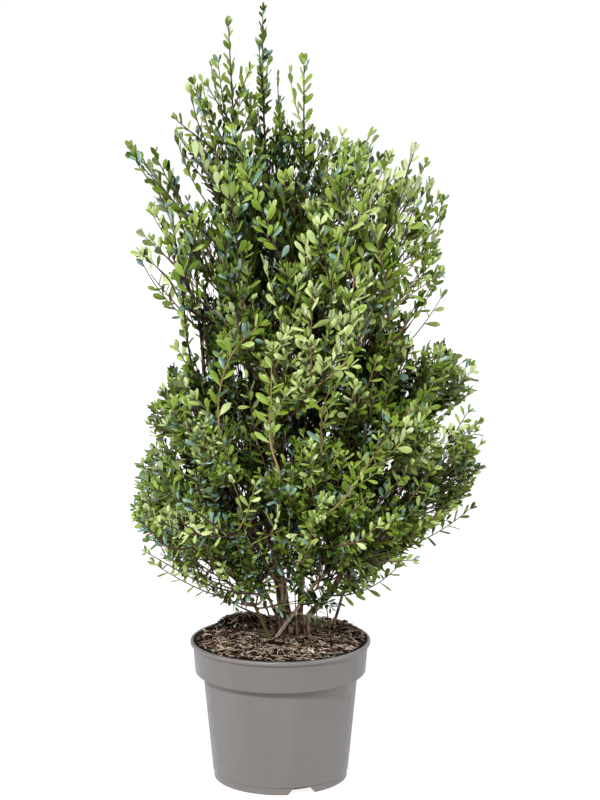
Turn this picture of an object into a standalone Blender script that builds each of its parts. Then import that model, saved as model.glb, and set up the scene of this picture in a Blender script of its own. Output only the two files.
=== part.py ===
"""A potted Japanese holly: a nursery pot with its soil, a shrub of several stems and boughs,
and masses of twigs and leaves. Metres, +Z up. The origin is the centre of the pot's flat underside,
and -Y is the front."""

import math
import random

import bmesh
import bpy
import numpy as np
from mathutils import Matrix, Vector, noise

# Fit
GAP = 0.0003
UP = Vector((0, 0, 1))

# Pot
POT_SIDES = 32
RIM_RADIUS = 0.170
RIM_HEIGHT = 0.265
LIP_DROP = 0.0075
BAND_TOP_RADIUS = 0.1655
BAND_FOOT_RADIUS = 0.161
BAND_FOOT_HEIGHT = 0.204
BODY_TOP_RADIUS = 0.1455
BODY_FOOT_RADIUS = 0.1285
LEDGE_HEIGHT = 0.014
FOOT_RADIUS = 0.1265
WALL = 0.0022
FLOOR = 0.003
CENTRE_PAD_RADIUS = 0.098
GALLERY_HEIGHT = 0.017
NOTCHES = 3
NOTCH_TURN = math.radians(-72)
NOTCH_FOOT_WIDTH = 0.053
NOTCH_TOP_WIDTH = 0.029
NOTCH_HEIGHT = 0.014
NOTCH_DEPTH = 0.012

# Soil
FOOT_LEVEL = 0.272
SOIL_EDGE = 0.258
PLATEAU_CENTRE = Vector((0.032, 0.028, 0))
PLATEAU_RADIUS = 0.098
SOIL_LUMP = 0.005
SOIL_SLOPE = 0.05
SOIL_BLEND = 0.015
SOIL_RINGS = (0.0, 0.3, 0.5, 0.65, 0.78, 0.88)
MOUND_CENTRE = Vector((-0.075, 0.105, 0))
MOUND_RADIUS = 0.05
MOUND_HEIGHT = 0.012

# Limbs that start in the soil or leave the trunk low down: carrier, height where they leave it,
# points of the route, radius at the foot and at the tip
LIMBS = {
    "trunk": (None, None, (
        (0.014, 0.018, 0.250), (0.012, 0.018, 0.280), (0.003, 0.018, 0.348), (-0.006, 0.015, 0.413),
        (-0.002, 0.010, 0.529), (0.010, 0.000, 0.752), (0.009, 0.000, 0.892), (-0.016, 0.000, 1.080)),
        0.0125, 0.0032),
    "stem_right": (None, None, (
        (0.056, -0.010, 0.250), (0.048, -0.008, 0.296), (0.063, 0.000, 0.319), (0.101, 0.000, 0.362),
        (0.130, -0.010, 0.450), (0.135, -0.030, 0.600), (0.131, -0.050, 0.800), (0.150, -0.050, 0.880)),
        0.0068, 0.0032),
    "stem_back": (None, None, (
        (0.036, 0.096, 0.250), (0.042, 0.104, 0.370), (0.048, 0.112, 0.550), (0.036, 0.118, 0.780),
        (0.010, 0.112, 0.900)), 0.0064, 0.0032),
    "cane": (None, None, (
        (-0.022, -0.014, 0.250), (0.029, -0.040, 0.330), (0.060, -0.065, 0.380), (0.085, -0.088, 0.412)),
        0.0034, 0.0030),
    "shoot_left": (None, None, (
        (-0.010, -0.034, 0.250), (-0.036, -0.066, 0.320), (-0.058, -0.100, 0.373)), 0.0028, 0.0026),
    "shoot_back_left": (None, None, (
        (0.008, 0.074, 0.250), (-0.022, 0.088, 0.320), (-0.052, 0.104, 0.372)), 0.0032, 0.0028),
    "shoot_right": (None, None, (
        (0.094, 0.056, 0.250), (0.116, 0.068, 0.320), (0.130, 0.080, 0.372)), 0.0032, 0.0028),
    "leader_left": ("trunk", 0.430, (
        (-0.073, -0.030, 0.524), (-0.115, -0.030, 0.620), (-0.135, -0.020, 0.719),
        (-0.144, -0.015, 0.830)), 0.0068, 0.0032),
    "leader_mid": ("trunk", 0.500, (
        (-0.026, -0.030, 0.600), (-0.030, -0.040, 0.750), (-0.058, -0.036, 0.905),
        (-0.072, -0.032, 1.060)), 0.0056, 0.0032),
    "leader_right": ("trunk", 0.640, (
        (0.032, -0.030, 0.750), (0.040, -0.036, 0.880), (0.042, -0.030, 1.000)), 0.0048, 0.0032),
}
FLARE_RIDGES = 4
FLARE_TURN = 0.5
FLARE_OFFSET = 0.008
FLARE_LEAN = math.radians(38)
FLARE_FOOT_RADIUS = 0.0075
FLARE_TOP_RADIUS = 0.0035
FLARE_LENGTH = 0.048
BURL_CENTRE = Vector((0.030, 0.010, 0.281))
BURL_SIZE = Vector((0.019, 0.017, 0.015))
BURL_LUMP = 0.12
LIMB_STEP = 0.065
BOUGH_PIECES = 3
BOUGH_FOOT_RADIUS = 0.0052
BOUGH_TIP_RADIUS = 0.0030

# Foliage masses that end a limb: limb, tip of the mass, widest radius, narrowing to the tip
LIMB_MASSES = {
    "spire_centre": ("trunk", (-0.030, 0.010, 1.444), 0.100, 0.50),
    "spire_left": ("leader_mid", (-0.092, -0.040, 1.414), 0.095, 0.50),
    "spire_right": ("leader_right", (0.044, -0.030, 1.348), 0.090, 0.45),
    "upper_left": ("leader_left", (-0.236, -0.020, 1.085), 0.100, 0.10),
    "upper_right": ("stem_right", (0.247, -0.030, 1.188), 0.140, 0.30),
    "upper_back": ("stem_back", (-0.045, 0.205, 1.130), 0.160, 0.15),
    "skirt_front_left": ("shoot_left", (-0.165, -0.225, 0.500), 0.170, 0.05),
    "skirt_front_right": ("cane", (0.225, -0.230, 0.530), 0.170, 0.05),
    "skirt_back_left": ("shoot_back_left", (-0.175, 0.215, 0.500), 0.170, 0.05),
    "skirt_back_right": ("shoot_right", (0.245, 0.215, 0.530), 0.170, 0.05),
}

# Foliage masses at the end of a bough: carrier, height where the bough leaves it, tip of the
# mass, widest radius, narrowing to the tip
BOUGH_MASSES = {
    "skirt_left": ("trunk", 0.360, (-0.272, -0.020, 0.545), 0.165, 0.05),
    "skirt_front": ("trunk", 0.390, (0.070, -0.305, 0.560), 0.170, 0.05),
    "skirt_right": ("stem_right", 0.390, (0.376, -0.010, 0.600), 0.160, 0.05),
    "skirt_back": ("stem_back", 0.350, (0.030, 0.305, 0.520), 0.170, 0.05),
    "shoulder_left": ("leader_left", 0.560, (-0.236, 0.010, 0.715), 0.150, 0.10),
    "shoulder_front_left": ("leader_left", 0.500, (-0.138, -0.235, 0.700), 0.150, 0.10),
    "shoulder_front": ("trunk", 0.570, (-0.016, -0.245, 0.853), 0.150, 0.15),
    "middle_front": ("leader_right", 0.770, (0.095, -0.225, 0.930), 0.130, 0.15),
    "shoulder_front_right": ("stem_right", 0.480, (0.210, -0.235, 0.740), 0.150, 0.10),
    "shoulder_right": ("stem_right", 0.550, (0.362, 0.015, 0.790), 0.150, 0.10),
    "shoulder_back_right": ("stem_back", 0.500, (0.250, 0.205, 0.760), 0.160, 0.10),
    "shoulder_back_left": ("trunk", 0.460, (-0.145, 0.200, 0.780), 0.160, 0.10),
    "left_spray": ("leader_mid", 0.830, (-0.277, 0.000, 1.192), 0.100, 0.25),
    "upper_front_left": ("leader_mid", 0.740, (-0.110, -0.170, 1.010), 0.140, 0.15),
    "upper_front": ("trunk", 0.780, (0.067, -0.175, 1.085), 0.140, 0.15),
    "upper_front_right": ("stem_right", 0.640, (0.165, -0.200, 0.960), 0.140, 0.15),
    "upper_right_top": ("trunk", 0.880, (0.172, 0.025, 1.216), 0.130, 0.10),
    "upper_back_right": ("stem_back", 0.700, (0.250, 0.150, 1.080), 0.155, 0.10),
    "spire_far_left": ("leader_mid", 0.960, (-0.160, 0.030, 1.310), 0.100, 0.30),
}
BOUGH_SHARE = 0.26
BOUGH_RISE = 0.45

# Growth of a mass
CELL_GAP = 0.0015
BEHIND_START = 0.30
CROWN_AXIS = Vector((0.040, 0.000, 0))
CROWN_FOOT = 0.325
UNDERSIDE_RADIUS = 0.14
UNDERSIDE_SLOPE = 0.5
CROWN_TOP = 1.4445
START_SWELL = 0.70
STEM_PIECES = 4
STEM_BEND = 0.35
STEM_BARE = 0.04
STEM_RADIUS_END = 0.0022
TWIG_SPACING = 0.034
TWIG_FEWEST = 8
TWIG_RADIUS = 0.0015
TWIG_RADIUS_END = 0.0013
TWIG_SHORTEST = 0.035
TWIG_LONGEST = 0.150
TWIG_CUT = 0.006
TWIG_INSET = 0.003
TWIG_LEAN = math.radians(52)
TWIG_LIFT = 0.35
TWIG_TRIES = 6
THIRD_TURN = math.tau / 3
TURN_SPREAD = 0.20
LIMB_CLEARANCE = 0.0012

# Leaf
LEAF_SHARE = 0.64
LEAF_LONGEST = 0.092
LEAF_REACH = 0.92
LEAF_WIDEST = 0.46
LEAF_SLIMNESS = 0.56
LEAF_END_WIDTH = 0.56
LEAF_RISE = 0.048
LEAF_SPACING = 0.40
TWIG_BARE = 0.12
LEAF_INSET = 0.001
ROOT_SINK = 0.001
LEAF_LEAN = math.radians(50)
END_LEAN = math.radians(14)
LEAF_CLEARANCE = 0.0025
LEAF_APART = 0.0045
LEAF_TRIES = 9

COLOURS = {
    "pot": ((0.30, 0.27, 0.255), 0.42),
    "soil": ((0.085, 0.060, 0.042), 0.95),
    "bark": ((0.115, 0.078, 0.056), 0.85),
    "shoot": ((0.135, 0.110, 0.040), 0.60),
    "leaf_low": ((0.062, 0.120, 0.030), 0.45),
    "leaf_mid": ((0.090, 0.165, 0.035), 0.42),
    "leaf_top": ((0.135, 0.215, 0.050), 0.40),
}


# Scene and objects


def clear_scene():
    for obj in list(bpy.data.objects):
        bpy.data.objects.remove(obj)


def new_collection(name):
    collection = bpy.data.collections.new(name)
    bpy.context.scene.collection.children.link(collection)
    return collection


def new_material(name, colour, roughness):
    material = bpy.data.materials.new(name)
    material.use_nodes = True
    shader = material.node_tree.nodes["Principled BSDF"]
    shader.inputs["Base Color"].default_value = (*colour, 1)
    shader.inputs["Roughness"].default_value = roughness
    shader.inputs["Metallic"].default_value = 0
    material.diffuse_color = (*colour, 1)
    return material


def mesh_object(name, mesh, collection, material=None):
    obj = bpy.data.objects.new(name, mesh)
    collection.objects.link(obj)
    if material:
        mesh.materials.clear()
        mesh.materials.append(material)
    return obj


def object_from_bmesh(name, bm, collection, material=None):
    bmesh.ops.recalc_face_normals(bm, faces=bm.faces)
    mesh = bpy.data.meshes.new(name)
    bm.to_mesh(mesh)
    bm.free()
    return mesh_object(name, mesh, collection, material)


def evaluated_mesh(obj):
    bpy.context.view_layer.update()
    graph = bpy.context.evaluated_depsgraph_get()
    return bpy.data.meshes.new_from_object(obj.evaluated_get(graph))


def smooth(obj, angle=40):
    obj.data.shade_smooth()
    obj.data.set_sharp_from_angle(angle=math.radians(angle))


def make_cutter(obj):
    obj.hide_render = True
    obj.display_type = "WIRE"
    return obj


def boolean(obj, other, operation):
    modifier = obj.modifiers.new(operation.title(), "BOOLEAN")
    modifier.operation = operation
    modifier.object = other


def turned(name, profile, steps, collection, material=None):
    """A closed profile of (radius, height), outer side first and downwards, turned round Z."""
    bm = bmesh.new()
    corners = [bm.verts.new((radius, 0, height)) for radius, height in profile]
    for first, second in zip(corners, corners[1:]):
        bm.edges.new((first, second))
    if profile[0][0] > 0:
        bm.edges.new((corners[-1], corners[0]))
    mesh = bpy.data.meshes.new(name)
    bm.to_mesh(mesh)
    bm.free()
    obj = mesh_object(name, mesh, collection, material)
    screw = obj.modifiers.new("Turn", "SCREW")
    screw.steps = steps
    screw.render_steps = steps
    screw.use_merge_vertices = True
    screw.merge_threshold = 0.00005
    return obj


# Pot and soil


def band_inner_radius():
    return BAND_FOOT_RADIUS - WALL


def pot_profile():
    """Outer side down from the lip, across the underside to the axis, and up the inner side."""
    inner_lip = BAND_TOP_RADIUS - WALL
    return [
        (RIM_RADIUS - 0.0014, RIM_HEIGHT),
        (RIM_RADIUS, RIM_HEIGHT - 0.0020),
        (RIM_RADIUS, RIM_HEIGHT - LIP_DROP + 0.0015),
        (BAND_TOP_RADIUS, RIM_HEIGHT - LIP_DROP),
        (BAND_FOOT_RADIUS, BAND_FOOT_HEIGHT + 0.002),
        (BAND_FOOT_RADIUS - 0.002, BAND_FOOT_HEIGHT),
        (BODY_TOP_RADIUS, BAND_FOOT_HEIGHT - 0.002),
        (BODY_FOOT_RADIUS, LEDGE_HEIGHT),
        (FOOT_RADIUS, LEDGE_HEIGHT - 0.001),
        (FOOT_RADIUS, 0.001),
        (FOOT_RADIUS - 0.001, 0.0),
        (FOOT_RADIUS - WALL, 0.0),
        (FOOT_RADIUS - WALL, GALLERY_HEIGHT),
        (CENTRE_PAD_RADIUS + 0.004, GALLERY_HEIGHT),
        (CENTRE_PAD_RADIUS, 0.0),
        (0.0, 0.0),
        (0.0, FLOOR),
        (CENTRE_PAD_RADIUS - 0.002, FLOOR),
        (CENTRE_PAD_RADIUS + 0.002, GALLERY_HEIGHT + FLOOR),
        (BODY_FOOT_RADIUS - WALL, GALLERY_HEIGHT + FLOOR),
        (BODY_TOP_RADIUS - WALL, BAND_FOOT_HEIGHT - 0.002),
        (band_inner_radius(), BAND_FOOT_HEIGHT + WALL),
        (inner_lip, RIM_HEIGHT - LIP_DROP),
        (inner_lip + 0.0012, RIM_HEIGHT),
    ]


def notch_cutter(index, collection):
    """A wedge through the foot ring, wider at the ground, as a four-sided cone stretched across."""
    turn = NOTCH_TURN + index * math.tau / NOTCHES
    bm = bmesh.new()
    half_foot = NOTCH_FOOT_WIDTH / 2
    half_top = NOTCH_TOP_WIDTH / 2
    base = -0.01
    bmesh.ops.create_cone(
        bm, cap_ends=True, segments=4, radius1=1, radius2=1, depth=1, matrix=Matrix.Rotation(math.pi / 4, 4, "Z")
    )
    slope = (half_foot - half_top) / NOTCH_HEIGHT
    for vertex in bm.verts:
        height = NOTCH_HEIGHT if vertex.co.z > 0 else base
        half = half_foot - slope * height
        along = FOOT_RADIUS - NOTCH_DEPTH if vertex.co.x < 0 else FOOT_RADIUS + 0.01
        vertex.co = (along, math.copysign(half, vertex.co.y), height)
    bmesh.ops.transform(bm, matrix=Matrix.Rotation(turn, 4, "Z"), verts=bm.verts)
    return make_cutter(object_from_bmesh(f"notch_cut_{index + 1}", bm, collection))


def make_pot(parts, cutters, materials):
    pot = turned("pot", pot_profile(), POT_SIDES, parts, materials["pot"])
    for index in range(NOTCHES):
        boolean(pot, notch_cutter(index, cutters), "DIFFERENCE")
    smooth(pot, 30)
    return pot


def soil_height(x, y):
    """Flat round the stems, lumpy beyond, falling to the wall, with one mound at the back left."""
    spot = Vector((x, y, 0))
    beyond = max(0.0, (spot - PLATEAU_CENTRE).length - PLATEAU_RADIUS)
    height = FOOT_LEVEL - GAP + (SOIL_EDGE - FOOT_LEVEL) * min(1.0, beyond / SOIL_SLOPE)
    lumps = noise.noise(spot * 45) * SOIL_LUMP
    mound = MOUND_HEIGHT * max(0.0, 1 - ((spot - MOUND_CENTRE).length / MOUND_RADIUS) ** 2)
    return height + (lumps + mound) * min(1.0, beyond / SOIL_BLEND)


def make_soil(parts, materials):
    """Fills the pot 0.3 mm clear of it: the pot's inner profile turned, and a top of rings."""
    side = [
        (band_inner_radius() + 0.0028, SOIL_EDGE),
        (band_inner_radius() - GAP, BAND_FOOT_HEIGHT + WALL + 0.002),
        (BODY_TOP_RADIUS - WALL - GAP, BAND_FOOT_HEIGHT + 0.001),
        (BODY_FOOT_RADIUS - WALL - GAP - 0.0002, GALLERY_HEIGHT + FLOOR + GAP),
        (CENTRE_PAD_RADIUS + 0.002 - GAP, GALLERY_HEIGHT + FLOOR + GAP),
        (CENTRE_PAD_RADIUS - 0.002 - GAP, FLOOR + GAP),
        (0.0, FLOOR + GAP),
    ]
    profile = [(share * side[0][0], SOIL_EDGE) for share in SOIL_RINGS] + side
    soil = turned("soil_turned", profile, POT_SIDES, parts)
    soil.data = evaluated_mesh(soil)
    soil.modifiers.clear()
    soil.name = "soil"
    soil.data.materials.append(materials["soil"])
    for vertex in soil.data.vertices:
        on_top = abs(vertex.co.z - SOIL_EDGE) < 1e-6
        if on_top and vertex.co.xy.length < side[0][0] - 0.001:
            vertex.co.z = soil_height(vertex.co.x, vertex.co.y)
    smooth(soil)
    return soil


# Limbs


class Limb:
    """One tapering limb: points along its centreline and a radius at each."""

    def __init__(self, name, points, radii, carrier=None):
        self.name = name
        self.points = points
        self.radii = radii
        self.carrier = carrier

    def at_height(self, height):
        """Centre, direction and radius where the limb passes this height."""
        for index in range(len(self.points) - 1):
            low, high = self.points[index], self.points[index + 1]
            if low.z <= height <= high.z:
                share = (height - low.z) / (high.z - low.z)
                radius = self.radii[index] * (1 - share) + self.radii[index + 1] * share
                return low.lerp(high, share), (high - low).normalized(), radius
        raise ValueError(f"{self.name} doesn't pass height {height}")

    def end_direction(self):
        return (self.points[-1] - self.points[-2]).normalized()


def curve_through(knots, step):
    """Points on a Catmull-Rom curve through the knots, about one a step."""
    knots = [Vector(knot) for knot in knots]
    padded = [2 * knots[0] - knots[1], *knots, 2 * knots[-1] - knots[-2]]
    points = [knots[0]]
    for before, start, end, after in zip(padded, padded[1:], padded[2:], padded[3:]):
        pieces = max(1, round((end - start).length / step))
        for piece in range(1, pieces + 1):
            t = piece / pieces
            points.append(
                0.5
                * (
                    2 * start
                    + (end - before) * t
                    + (2 * before - 5 * start + 4 * end - after) * t**2
                    + (3 * start - before - 3 * end + after) * t**3
                )
            )
    return points


def arc(start, bend, end, share):
    """The point this share of the way along a curve pulled towards its bend."""
    return start * (1 - share) ** 2 + bend * 2 * share * (1 - share) + end * share**2


def taper(points, foot_radius, tip_radius):
    """Radii that fall from foot to tip, a little faster low down."""
    lengths = [0.0]
    for first, second in zip(points, points[1:]):
        lengths.append(lengths[-1] + (second - first).length)
    return [tip_radius + (foot_radius - tip_radius) * (1 - length / lengths[-1]) ** 1.2 for length in lengths]


def plan_limbs():
    limbs = {}
    for name, (carrier, height, knots, foot_radius, tip_radius) in LIMBS.items():
        if carrier:
            knots = (limbs[carrier].at_height(height)[0], *knots)
        points = curve_through(knots, LIMB_STEP)
        limbs[name] = Limb(name, points, taper(points, foot_radius, tip_radius), carrier)
    for mass, (carrier, height, tip, _, _) in BOUGH_MASSES.items():
        foot, along, carrier_radius = limbs[carrier].at_height(height)
        tip = Vector(tip)
        reach = tip - foot
        bend = foot + (along + reach.normalized()).normalized() * reach.length * BOUGH_RISE
        points = [arc(foot, bend, tip, BOUGH_SHARE * part / BOUGH_PIECES) for part in range(BOUGH_PIECES + 1)]
        foot_radius = min(BOUGH_FOOT_RADIUS, 0.75 * carrier_radius)
        radii = taper(points, foot_radius, min(BOUGH_TIP_RADIUS, foot_radius))
        limbs[f"bough_{mass}"] = Limb(f"bough_{mass}", points, radii, carrier)
    return limbs


def limb_tube(name, limb, spare, collection, bevel_resolution, material=None):
    """The limb as a bevelled curve made a mesh, all round fatter by the spare."""
    curve = bpy.data.curves.new(name, "CURVE")
    curve.dimensions = "3D"
    curve.bevel_depth = 1.0
    curve.bevel_resolution = bevel_resolution
    curve.use_fill_caps = True
    spline = curve.splines.new("POLY")
    spline.points.add(len(limb.points) - 1)
    for point, place, radius in zip(spline.points, limb.points, limb.radii):
        point.co = (*place, 1)
        point.radius = radius + spare
    guide = bpy.data.objects.new(name + "_curve", curve)
    collection.objects.link(guide)
    mesh = evaluated_mesh(guide)
    bpy.data.objects.remove(guide)
    bm = bmesh.new()
    bm.from_mesh(mesh)
    bmesh.ops.remove_doubles(bm, verts=bm.verts, dist=1e-5)
    return object_from_bmesh(name, bm, collection, material)


def flare_ridge(index, foot, collection):
    """A low cone that leans on the trunk's foot, thinning outwards."""
    turn = index * math.tau / FLARE_RIDGES + FLARE_TURN
    bm = bmesh.new()
    lean = Matrix.Rotation(turn, 4, "Z") @ Matrix.Rotation(-FLARE_LEAN, 4, "Y")
    place = Matrix.Translation(foot + Vector((math.cos(turn), math.sin(turn), 0)) * FLARE_OFFSET)
    bmesh.ops.create_cone(
        bm, cap_ends=True, segments=7, radius1=FLARE_FOOT_RADIUS, radius2=FLARE_TOP_RADIUS,
        depth=FLARE_LENGTH, matrix=place @ lean,
    )
    return object_from_bmesh(f"flare_{index + 1}", bm, collection)


def make_trunk_foot(trunk, limb, collection):
    """Fuses the root flare's ridges and the burl to the trunk."""
    foot = Vector((limb.points[0].x, limb.points[0].y, FOOT_LEVEL))
    for index in range(FLARE_RIDGES):
        boolean(trunk, make_cutter(flare_ridge(index, foot, collection)), "UNION")
    bm = bmesh.new()
    bmesh.ops.create_icosphere(bm, subdivisions=2, radius=1)
    for vertex in bm.verts:
        swell = 1 + BURL_LUMP * noise.noise(vertex.co * 2.3)
        vertex.co = BURL_CENTRE + vertex.co * BURL_SIZE * swell
    boolean(trunk, make_cutter(object_from_bmesh("burl", bm, collection)), "UNION")


def ground_cutter(collection):
    bm = bmesh.new()
    bmesh.ops.create_cube(bm, size=1)
    for vertex in bm.verts:
        vertex.co = (vertex.co.x, vertex.co.y, FOOT_LEVEL if vertex.co.z > 0 else 0.1)
    return make_cutter(object_from_bmesh("ground_cut", bm, collection))


def make_limbs(limbs, parts, cutters, materials):
    ground = ground_cutter(cutters)
    carriers = {limb.carrier for limb in limbs.values() if limb.carrier}
    clearance = {}
    for name in sorted(carriers):
        detail = 3 if name == "trunk" else 1
        fat = GAP / math.cos(math.pi / (4 + 2 * detail)) + 0.00005
        clearance[name] = make_cutter(limb_tube(f"{name}_clearance", limbs[name], fat, cutters, detail))
    for name, limb in limbs.items():
        detail = 3 if name == "trunk" else 1
        material = materials["shoot"] if name in ("cane", "shoot_left") else materials["bark"]
        obj = limb_tube(name, limb, 0.0, parts, detail, material)
        if limb.carrier:
            boolean(obj, clearance[limb.carrier], "DIFFERENCE")
        else:
            if name == "trunk":
                make_trunk_foot(obj, limb, cutters)
            boolean(obj, ground, "DIFFERENCE")
        smooth(obj)


# Foliage masses: the space of each


class Mass:
    """A plume of twigs from its start to its tip, widest in the middle."""

    def __init__(self, name, limb, start, tip, width, narrowing):
        self.name = name
        self.limb = limb
        self.start = Vector(start)
        self.tip = Vector(tip)
        self.width = width
        self.narrowing = narrowing
        self.leaf_length = min(LEAF_SHARE * width, LEAF_LONGEST)
        self.neighbours = []

    def nearness(self, places):
        """Distance of each place from the axis, as a share of the width."""
        start, axis = np.array(self.start), np.array(self.tip - self.start)
        share = np.clip((places - start) @ axis / (axis @ axis), 0, 1)
        return np.linalg.norm(places - start - np.outer(share, axis), axis=1) / self.width

    def holds(self, points, inset=0.0):
        """Whether all the points lie in the plume and nearer to its axis than to any other."""
        places = np.asarray(points, float)
        axis = np.array(self.tip - self.start)
        length = np.linalg.norm(axis)
        axis /= length
        offset = places - np.array(self.start)
        along = offset @ axis / length
        across = np.linalg.norm(offset - np.outer(offset @ axis, axis), axis=1)
        inside = np.clip(along, 0, 1)
        swell = START_SWELL + (1 - START_SWELL) * np.sin(np.pi * inside)
        limit = self.width * swell * (1 - self.narrowing * inside) - inset
        if (along > 1.02).any() or (along < -BEHIND_START).any() or (across > limit).any():
            return False
        reach = np.linalg.norm(places[:, :2] - np.array(CROWN_AXIS.xy), axis=1)
        foot = CROWN_FOOT + UNDERSIDE_SLOPE * np.maximum(reach - UNDERSIDE_RADIUS, 0)
        if (places[:, 2] < foot).any() or (places[:, 2] > CROWN_TOP).any():
            return False
        own = self.nearness(places)
        for other in self.neighbours:
            room = (other.nearness(places) - own) / (1 / self.width + 1 / other.width)
            if (room < CELL_GAP + inset).any():
                return False
        return True


def plan_masses(limbs):
    """All masses, each with those near enough to share a border with it."""
    masses = []
    for name, (limb, tip, width, narrowing) in LIMB_MASSES.items():
        end = limbs[limb]
        masses.append(Mass(name, end, end.points[-1] + end.end_direction() * GAP, tip, width, narrowing))
    for name, (_, _, tip, width, narrowing) in BOUGH_MASSES.items():
        end = limbs[f"bough_{name}"]
        masses.append(Mass(name, end, end.points[-1] + end.end_direction() * GAP, tip, width, narrowing))
    for mass in masses:
        mass.neighbours = [other for other in masses if other is not mass]
    return masses


# Foliage masses: twigs and leaves


class Obstacles:
    """The limbs' centrelines as segments, for the distance from points to their bark."""

    def __init__(self, limbs):
        starts, ends, radii = [], [], []
        for limb in limbs.values():
            for index in range(len(limb.points) - 1):
                starts.append(limb.points[index])
                ends.append(limb.points[index + 1])
                radii.append(max(limb.radii[index], limb.radii[index + 1]))
        self.starts, self.ends, self.radii = np.array(starts), np.array(ends), np.array(radii)

    def distance(self, points):
        """The least distance of any of the points to any limb's bark."""
        return segment_distances(points, self.starts, self.ends, self.radii).min()


def segment_distances(points, starts, ends, radii):
    places = np.asarray(points, float)[:, None, :]
    along = ends - starts
    share = ((places - starts) * along).sum(axis=2) / (along * along).sum(axis=1)
    nearest = starts + along * np.clip(share, 0, 1)[:, :, None]
    return np.linalg.norm(places - nearest, axis=2) - radii


def squared(vector, direction):
    """The part of a vector that is square to the direction, at length one."""
    return (vector - direction * vector.dot(direction)).normalized()


def rank_turn(index, draw):
    """Twigs and leaves stand a third of a turn apart, each out of a flat side of its stem."""
    return THIRD_TURN * (index + 0.5) + draw.uniform(-TURN_SPREAD, TURN_SPREAD)


def even_path(start, heading, length, step):
    """Places along a straight twig, about a step apart, its foot left out."""
    count = 1 + round(length / step)
    return [start + heading * length * (index + 1) / count for index in range(count)]


class Twig:
    """A slim path with a radius, a direction and a side carried along it."""

    def __init__(self, name, points, foot_radius, tip_radius, sets_out=None):
        self.name = name
        self.points = points
        self.radii = [
            foot_radius + (tip_radius - foot_radius) * index / (len(points) - 1) for index in range(len(points))
        ]
        self.length = sum((b - a).length for a, b in zip(points, points[1:]))
        self.directions = []
        self.sides = []
        side = UP.cross(points[1] - points[0]) + Vector((1e-4, 0, 0))
        for index in range(len(points)):
            before, after = points[max(index - 1, 0)], points[min(index + 1, len(points) - 1)]
            direction = (after - before).normalized()
            if sets_out and index == 0:
                direction = sets_out
            side = squared(side, direction)
            self.directions.append(direction)
            self.sides.append(side)

    def at(self, share):
        """Place, direction and side this share of the way along."""
        travel = share * self.length
        for index, (first, second) in enumerate(zip(self.points, self.points[1:])):
            piece = (second - first).length
            if travel <= piece:
                break
            travel -= piece
        direction = (second - first).normalized()
        return first + direction * min(travel, piece), direction, squared(self.sides[index], direction)


def leaning(direction, side, turn, lean):
    """A unit vector that leans this far off the direction, this far round it from the side."""
    return direction * math.cos(lean) + (Matrix.Rotation(turn, 3, direction) @ side) * math.sin(lean)


def stem_of(mass):
    """The mass's own stem: on from its limb's end and round to the tip."""
    reach = (mass.tip - mass.start).length
    bend = mass.start + mass.limb.end_direction() * reach * STEM_BEND
    end = 1 - mass.leaf_length * LEAF_REACH / reach
    points = [arc(mass.start, bend, mass.tip, end * part / STEM_PIECES) for part in range(STEM_PIECES + 1)]
    return Twig("stem", points, mass.limb.radii[-1], STEM_RADIUS_END, mass.limb.end_direction())


def twig_length(mass, start, heading, obstacles):
    """How far a twig can run before its end leaf would leave the space."""
    length = TWIG_LONGEST
    while length >= TWIG_SHORTEST:
        path = even_path(start, heading, length + mass.leaf_length * 0.8, 0.02)
        body = even_path(start, heading, length, 0.004)
        if mass.holds(path, TWIG_INSET) and obstacles.distance(body) > TWIG_RADIUS + LIMB_CLEARANCE:
            return length
        length -= TWIG_CUT
    return 0.0


def grow_twigs(mass, obstacles):
    """The stem and its twigs. Each leaves by the side where it finds the most room."""
    stem = stem_of(mass)
    twigs = [stem]
    ends = [stem.points[-1]]
    count = max(TWIG_FEWEST, round(stem.length / TWIG_SPACING))
    for index in range(count):
        draw = random.Random(f"{mass.name} {index}")
        share = STEM_BARE + (1 - 1.5 * STEM_BARE) * (index + 0.5) / count
        start, direction, side = stem.at(share)
        best, best_room = None, TWIG_SHORTEST
        for attempt in range(TWIG_TRIES):
            turn = rank_turn(index + attempt, draw)
            heading = leaning(direction, side, turn, TWIG_LEAN * draw.uniform(0.75, 1.25))
            heading = (heading + UP * TWIG_LIFT).normalized()
            length = twig_length(mass, start, heading, obstacles)
            if not length:
                continue
            end = start + heading * length
            room = min(length, min((end - other).length for other in ends))
            if room > best_room:
                best, best_room = end, room
        if best:
            twigs.append(Twig(str(index), [start, best], TWIG_RADIUS, TWIG_RADIUS_END))
            ends.append(best)
    return twigs


def leaf_frame(root, direction, face, length):
    """Matrix of a leaf that lies along the direction with its upper side to the face."""
    normal = squared(face, direction)
    side = normal.cross(direction)
    axes = Matrix((direction, side, normal)).transposed().to_4x4()
    return Matrix.Translation(root) @ axes @ Matrix.Scale(length, 4)


def leaf_outline():
    """Five corners of a leaf of length one: root, widest places and the blunt end."""
    half = LEAF_SLIMNESS / 2
    end = half * LEAF_END_WIDTH
    return [(0, 0), (LEAF_WIDEST, half), (LEAF_REACH, end), (LEAF_REACH, -end), (LEAF_WIDEST, -half)]


def leaf_samples():
    """Places all over a leaf of length one, to test its room with."""
    half = LEAF_SLIMNESS / 2
    stations = np.linspace(0.12, LEAF_REACH, 9)
    widths = np.interp(stations, (0, LEAF_WIDEST, LEAF_REACH), (0, half, half * LEAF_END_WIDTH))
    return [
        Vector((along, width * across, 0))
        for along, width in zip(stations, widths)
        for across in (-1, -0.5, 0, 0.5, 1)
    ]


def leaf_places(twig, spacing):
    """Shares along a twig where leaves stand: the end, and back from it at even spacing."""
    count = max(1, round((1 - TWIG_BARE) * twig.length / spacing))
    return [1.0] + [1 - (1 - TWIG_BARE) * (index + 0.6) / count for index in range(count)]


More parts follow.
